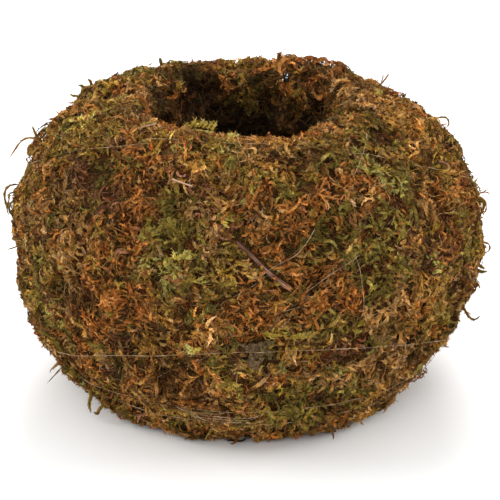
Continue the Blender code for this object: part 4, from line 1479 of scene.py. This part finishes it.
# Shoots that stand out of the ball, as the photograph shows them: kind, width, bearing and height
# of the root, then points by their offset from it: up, away from the axis and, where there is any,
# sideways along the bearing. All but the bearings are in millimetres
STRAYS = (
    ("straw", 1.0, -98, 108, ((-1, -3), (1.5, 1), (2, 4), (0.2, 7.5), (-4, 10.5), (-8, 13))),
    ("bare", 0.7, -98, 108, ((-1, -3), (1.3, 1), (1.7, 4), (0, 7.3), (-4.2, 10.3), (-8.4, 13))),
    ("olive", 1.2, -99, 109, ((-2, -2), (1, 1), (4, 2.6), (6, 3.2))),
    ("straw", 1.1, -98, 104, ((3, -2), (2, 1.5), (-1, 2), (-5, 1))),
    ("olive", 1.3, -90, 89, ((4, -2), (3.5, 2.2), (1, 4.6), (-3, 5), (-8, 3.4), (-11, 1))),
    ("olive", 1.1, -89, 88, ((2, -1), (1, 2.6), (-2, 2.4), (-6, 3.8), (-9, 3))),
    ("green", 1.0, -88, 84, ((3, -2), (1, 1.2), (-3, 1.6), (-6, -0.5))),
    ("green", 0.6, -82, 68, ((1, -2), (0, 1), (-0.5, 3.2))),
    ("olive", 0.9, -68, 19, ((4, -3), (2.5, 0), (0.5, 2.4), (-0.6, 5), (-2.6, 6))),
    ("bare", 0.7, -68, 17, ((3, -3), (1.5, 1), (-1.5, 4.4), (-5.4, 8.6))),
    ("straw", 0.8, -67, 20, ((3, -2), (2.4, 1.4, 1), (1.2, 3.6, 1), (-1, 4.4, 1))),
    ("olive", 1.8, -57, 9, ((3, -3), (1, 1, 0.6), (-0.6, 2.6, 1.6), (-2.6, 3.8, 3.4), (-4.4, 4, 5))),
    ("olive", 1.7, -52, 8, ((3, -2, 3), (0.6, 2, 2.4), (-1.4, 3.2, 1.4), (-3.2, 3.8, 0.4))),
    ("umber", 1.4, -54, 8, ((-1, 2, 3), (-2.4, 3, 4), (-3.8, 3.6, 3), (-3.6, 3.8, 1.4))),
    ("bare", 0.8, 90, 88, ((-1, -3), (0.6, 1), (1, 4), (-0.5, 6))),
    ("bare", 0.6, 90, 88, ((0.8, 2.6), (1.8, 3.4), (2.4, 4.6))),
    ("olive", 1.5, 87, 86, ((2, -2), (1.5, 1.4), (-2, 2.2), (-6, 0.5))),
    ("bare", 0.8, 87, 85, ((4, 0), (2, 2.4), (-2, 3), (-5, 1.5))),
    ("bare", 0.9, 82, 69, ((2, -2), (2, 2), (1.2, 4.4), (-0.8, 5), (-2.6, 4), (-3, 1.8))),
    ("green", 1.8, 79, 59, ((1, -2), (0.6, 1.6), (0, 3.6), (0.4, 6))),
    ("olive", 1.7, 79, 61, ((2, -2), (1.4, 1.4), (0.4, 3), (-0.4, 4.6))),
    ("green", 0.8, 79, 55, ((-3, -2), (-2, 1.6), (-2.6, 3.4), (-4.4, 4))),
    ("olive", 1.3, 76, 43, ((3, -2), (0.5, 0.8), (-2.6, 2.2), (-4.8, 4.2), (-5, 6.4), (-3.2, 8))),
    ("rust", 0.6, 76, 41, ((3, -2), (1, 1.6), (0, 3.6), (-1, 5))),
    ("green", 1.6, -115, 124, ((-3, -3), (1, 0.5), (3, 2.4), (3.4, 4.6))),
    ("olive", 1.5, -117, 125, ((-2, -3), (2, 0.5), (4, 1.2), (4.8, 2.6))),
    ("green", 1.3, -113, 122, ((-2, -3), (1, 1), (0.8, 3.2), (1.6, 4.8))),
    ("green", 1.6, -143, 132, ((-2, -1), (1.2, 0.3), (2.6, 0.5, 0.3))),
    ("straw", 0.9, 118, 130, ((-3, -3), (0.4, 1), (2, 2.4), (3.4, 3.4))),
    ("umber", 0.6, 119, 130, ((-1, 0), (1.6, 1), (3, 0.8))),
    ("olive", 1.0, 103, 115, ((2, -2), (2.4, 1.2), (1.6, 3.6), (-1.2, 4.6), (-3, 3))),
    ("umber", 0.9, -3, 6, ((2, -3), (-1, 1.2), (-2, 2.6, -1.5), (-1.4, 3, -3))),
    ("umber", 0.9, 26, 8, ((2, -3), (-1, 1.4, 1), (-3, 3, 1.4), (-4, 5, 0.4))),
    ("rust", 0.9, 37, 9, ((2, -3), (-1.4, 1.2), (-3, 2.6, 1))),
    ("rust", 1.7, 163, 135, ((-2, 0), (1.4, 0.2), (3.2, 0, -0.6), (3.8, 0, -1.8))),
    ("rust", 1.7, 162, 135, ((-2, 0), (1.6, 0.2), (2.8, 0, 0.4), (3.4, 0, 1.6))),
    ("rust", 1.7, 160, 135, ((-2, 0, 1), (0.6, 0.2, -1), (1.6, 0, -2.4), (1.4, 0, -4.4))),
    ("rust", 1.6, 155, 135, ((-1, 0, 3), (0.8, 0.4), (1, 0.2, -3), (0.2, 0, -5.4))),
    ("umber", 1.5, 152, 134, ((-1, 0, 3), (1, 0.4), (1.6, 0.2, -3), (1, 0, -5.4))),
    ("rust", 1.5, 147, 133, ((-1, 0, 4), (1.2, 0.4), (1.2, 0.2, -3), (-0.4, 0, -6))),
    ("rust", 1.3, 140, 132, ((-1, 0, 4), (1.2, 0.4), (1, 0.4, -3), (-1, 0, -6))),
)
# The way the strays face, the travel and shade they are drawn for, and the bare ones' shade and mesh
STRAY_FACING = (0.0, -0.93, 0.37)
STRAY_TRAVEL = 0.1
STRAY_SHADE = 1.1
STEM_SHADE = 1.3
BARE_RINGS = 14
BARE_SIDES = 6


def make_strays():
    """The photograph's stray shoots: leafy ones as strands, bare ones as knobbly tubes."""
    chance = np.random.default_rng(SEED + 2)
    lines = {True: [], False: []}
    rows = {True: [], False: []}
    for kind, width, bearing, height, offsets in STRAYS:
        leafy = kind != "bare"
        angle = math.radians(bearing)
        root = on_skin(travel_at_height(height), angle, 0)[0]
        sideways = np.array([math.cos(angle), math.sin(angle), 0])
        radial = np.array([math.sin(angle), -math.cos(angle), 0])
        steps = [sum(aside) * sideways + out * radial + (0, 0, up) for up, out, *aside in offsets]
        number = KIND_NAMES.index(kind if leafy else "umber")
        given = {"kind": number, "shade": STRAY_SHADE, "width": width / 1000, "twist": 0.4}
        run = root + smooth_run(np.array(steps) / 1000, SAMPLES if leafy else BARE_RINGS)
        for roll in (0.0, 1.5) if leafy else (0.0,):
            lines[leafy].append(run)
            rows[leafy].append(strand(STRAY_TRAVEL, angle, 0, number, chance, **given, roll=roll))
    leafy, bare = np.array(lines[True]), np.array(lines[False])
    s, t = columns_of(np.array(rows[True], float)), columns_of(np.array(rows[False], float))
    finish = moss_material("stray_shoots", 0.2, 0.85)
    leafy_piece("stray_shoots", s, (leafy, np.broadcast_to(STRAY_FACING, leafy.shape)), chance, finish)
    share = np.linspace(0, 1, BARE_RINGS)
    knobs = 1 + 0.35 * np.sin(share * 21 + t.phase)
    radius = t.width / 2 * knobs * np.interp(share, [0, 0.7, 1], [1, 0.85, 0.25])
    outward = unit(bare - (0, 0.05, BELT_HEIGHT))
    points = keep_above_floor(tube_points(bare, outward, radius, BARE_SIDES), t)
    template = tube_template(BARE_RINGS, BARE_SIDES)
    mesh_piece("stray_stems", template, points, tints(t)[:, None] * STEM_SHADE, finish)


# Pale sprigs with long leaflets: bearing, height in millimetres, heading in degrees, length in
# metres and kind
SPRIGS = (
    (3, 65.5, 4, 0.015, "lime"),
    (10, 64.5, 10, 0.010, "lime"),
    (104, 134, 150, 0.011, "straw"),
    (43, 122.5, 10, 0.009, "lime"),
)
SPRIG_PAIRS = 8
SPRIG_LIFT = 0.0016
SPRIG_CAST = (1.16, 1.02, 0.74)

# The comb on the near rim
RIM_SPRIG_STATION = 0.985
RIM_SPRIG_TEETH = 8
RIM_SPRIG_HEADING = 65
RIM_SPRIG_BEARINGS = (-33, -17.5)
RIM_SPRIG_RISE = 0.0037
RIM_SPRIG_STEM = 0.0155


def rim_sprig(chance):
    """The pale comb that stands on the near rim: curled teeth along a stem that rises to the right."""
    number = KIND_NAMES.index("lime")
    start = travel_at(RIM_SPRIG_STATION)
    low, high = np.radians(RIM_SPRIG_BEARINGS)
    pale = {"kind": number, "hue": 0.50, "shade": 1.30, "wave": 0.1}
    rows = []
    for i in range(RIM_SPRIG_TEETH):
        share = i / (RIM_SPRIG_TEETH - 1)
        place = start, low + (high - low) * share, math.radians(RIM_SPRIG_HEADING)
        tooth = dict(pale, length=0.0042 - 0.001 * share, width=0.0029, twist=0.3, roll=0.1, lift=0.0008)
        tooth.update(base=RIM_SPRIG_RISE * share**0.6 - 0.0006, tip=chance.uniform(0.0030, 0.0046))
        tooth.update(curl=chance.uniform(-3.0, -1.4))
        rows.append(strand(*place, number, chance, **tooth))
    stem = dict(pale, length=RIM_SPRIG_STEM, width=0.0014, twist=0.1, roll=0.0, curl=0.12)
    stem.update(lift=0.0004, tip=RIM_SPRIG_RISE)
    for step in (0.0, 0.0005):
        rows.append(strand(start - step, low, 0.0, number, chance, **stem, base=-0.0008 + step))
    return rows


def make_sprigs():
    """The comb on the rim, and the pale sprigs: stems with leaflet strands on either side in turn."""
    chance = np.random.default_rng(SEED + 3)
    rows = rim_sprig(chance)
    for bearing, height, heading, length, kind in SPRIGS:
        number = KIND_NAMES.index(kind)
        heading, curl = math.radians(heading), chance.normal(0, 0.5)
        place = travel_at_height(height), math.radians(bearing)
        given = {"kind": number, "base": 0.0, "shade": 1.0, "tip": 0.0}
        stem = dict(given, length=length, curl=curl, lift=SPRIG_LIFT)
        rows.append(strand(*place, heading, number, chance, **stem))
        for i in range(2 * SPRIG_PAIRS):
            share = 0.1 + 0.85 * i / (2 * SPRIG_PAIRS)
            side = 1 if i % 2 else -1
            start = moved(*place, heading, curl * share, length * share)
            turn = heading + curl * share + side * chance.uniform(0.8, 1.1)
            given.update(base=SPRIG_LIFT * math.sin(math.pi * share) ** 0.8 - 0.0002)
            given.update(length=0.30 * length * (1.1 - 0.7 * share), lift=0.0008, width=0.0006)
            rows.append(strand(*start, turn, number, chance, **given, curl=-side * 0.7))
    s = columns_of(np.array(rows, float))
    finish = moss_material("pale_sprigs", 0.15, 0.8)
    leafy_piece("pale_sprigs", s, centre_lines(s, SAMPLES), chance, finish, SPRIG_CAST)


# Small sticks caught in the moss: bearing, and height in millimetres, of both ends, and radius in
# metres
STICKS = (
    ((-23, 124), (-16, 122.5), 0.00038),
    ((-50, 134), (-46, 134.8), 0.00035),
)
STICK_COLOUR = (0.43, 0.27, 0.18)


def make_sticks():
    share = np.linspace(0, 1, BARE_RINGS)
    knobs = 1 + 0.15 * np.sin(share * 17)
    taper = np.interp(share, [0, 0.08, 1], [0.5, 1, 0.8])
    lines, radii = [], []
    for first, last, radius in STICKS:
        bearing, height = (np.interp(share, [0, 1], ends) for ends in zip(first, last))
        lines.append(on_skin(travel_at_height(height), np.radians(bearing), 0.0002 + 0.0004 * share)[0])
        radii.append(radius * knobs * taper)
    middle = np.array(lines)
    line = middle, unit(middle - (0, 0, BELT_HEIGHT)), np.array(radii), BARE_SIDES
    tube_piece("caught_sticks", *line, STICK_COLOUR, bpy.data.materials["twig_bark"], "bark")


def dress_model_nodes():
    """Finishes for the nodes of the model that stay."""
    for name, finish in (("liner_film", film_material()), ("fibre_core", fibre_material())):
        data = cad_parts[name].data
        data.materials.clear()
        data.materials.append(finish)


# The glimpse of film: its bearing and station, half its width, its cells, how far it stands out and
# crumples, how thick it is, how often a cell is a painted glint, and the colours of glints and film
GLIMPSE_PLACE = (154.5, 1.62)
GLIMPSE_REACH = 0.0016
GLIMPSE_CELLS = 7
GLIMPSE_RISE = 0.0022
GLIMPSE_CRUMPLE = 0.0005
GLIMPSE_THICKNESS = 0.0002
GLINT_CHANCE = 0.08
GLINT_SHADE = 0.85
FILM_SHADE = 0.006


def make_glimpse():
    """Crumpled film that shows through a gap in the moss inside the rim, a few cells painted as glints.
    """
    chance = np.random.default_rng(SEED + 4)
    bearing, station = GLIMPSE_PLACE
    steps = np.linspace(-GLIMPSE_REACH, GLIMPSE_REACH, GLIMPSE_CELLS + 1)
    across, along = np.meshgrid(steps, steps)
    turn = math.radians(bearing) + across / HOLE_RADIUS
    rise = GLIMPSE_RISE + chance.uniform(-GLIMPSE_CRUMPLE, GLIMPSE_CRUMPLE, across.shape)
    points = on_skin(travel_at(station) + along, turn, rise)[0].reshape(-1, 3)
    faces = grid_quads(np.arange(across.size).reshape(across.shape), closed=False)
    finish, shader = new_material("creased_film", 0.35, 0.2)
    colour = node(finish.node_tree, "Attribute", attribute_name="tint")
    finish.node_tree.links.new(colour.outputs["Color"], shader.inputs["Base Color"])
    mesh = new_mesh("film_glimpse", points.tolist(), faces.tolist(), finish)
    # Pale cells are painted glints
    bright = chance.random(len(faces)) < GLINT_CHANCE
    add_colours(mesh, "tint", "CORNER", np.repeat(np.where(bright, GLINT_SHADE, FILM_SHADE), 4)[:, None])
    thicken(add_piece("film_glimpse", mesh), GLIMPSE_THICKNESS)


def add_facing(name, data, place, target):
    """A camera or light at a place, facing a target."""
    made = placed(name, data)
    made.location = place
    made.rotation_euler = (place - target).to_track_quat("Z", "Y").to_euler()
    return made


def make_camera():
    camera = bpy.data.cameras.new("camera")
    camera.lens = CAMERA_LENS
    camera.sensor_width = SENSOR_WIDTH
    camera.shift_x = SHIFT_RIGHT
    camera.shift_y = SHIFT_UP
    target = Vector((0, 0, TARGET_HEIGHT))
    elevation = math.radians(CAMERA_ELEVATION)
    back = Vector((0, -math.cos(elevation), math.sin(elevation)))
    bpy.context.scene.camera = add_facing("camera", camera, target + back * CAMERA_DISTANCE, target)


# Large soft lights: place, size and power
LIGHTS = {
    "left": ((-1.7, 0.1, 0.9), 1.0, 17),
    "right": ((1.7, 0.1, 0.9), 1.0, 12),
    "back": ((0.1, 1.3, 1.3), 1.0, 19),
    "front": ((-0.3, -1.8, 1.3), 0.9, 8),
}
# The height that they face, the white surround's strength, and the floor
LIT_HEIGHT = 0.07
SURROUND_STRENGTH = 1.01
FLOOR_REACH = 4.0
FLOOR_COLOUR = (0.93, 0.93, 0.92, 1)


def make_studio():
    """A plain pale floor, an even white surround and four large soft lights."""
    scene = bpy.context.scene
    scene.view_settings.view_transform = "Standard"
    world = bpy.data.worlds.new("studio")
    world.use_nodes = True
    set_inputs(world.node_tree.nodes["Background"], Color=(1, 1, 1, 1), Strength=SURROUND_STRENGTH)
    scene.world = world
    for name, (place, size, power) in LIGHTS.items():
        light = bpy.data.lights.new(name, "AREA")
        light.shape = "DISK"
        light.size = size
        light.energy = power
        add_facing(name, light, Vector(place), Vector((0, 0, LIT_HEIGHT)))
    finish, shader = new_material("floor", 0.9)
    set_inputs(shader, Base_Color=FLOOR_COLOUR)
    corners = [(x * FLOOR_REACH, y * FLOOR_REACH, 0) for x, y in ((-1, -1), (1, -1), (1, 1), (-1, 1))]
    floor = placed("floor", new_mesh("floor", corners, [(0, 1, 2, 3)], finish))


make_camera()
make_studio()
dress_model_nodes()
make_bed()
make_moss()
make_fibres()
make_thread()
make_short_threads()
make_twig()
make_leaf()
make_strays()
make_sprigs()
make_sticks()
make_glimpse()
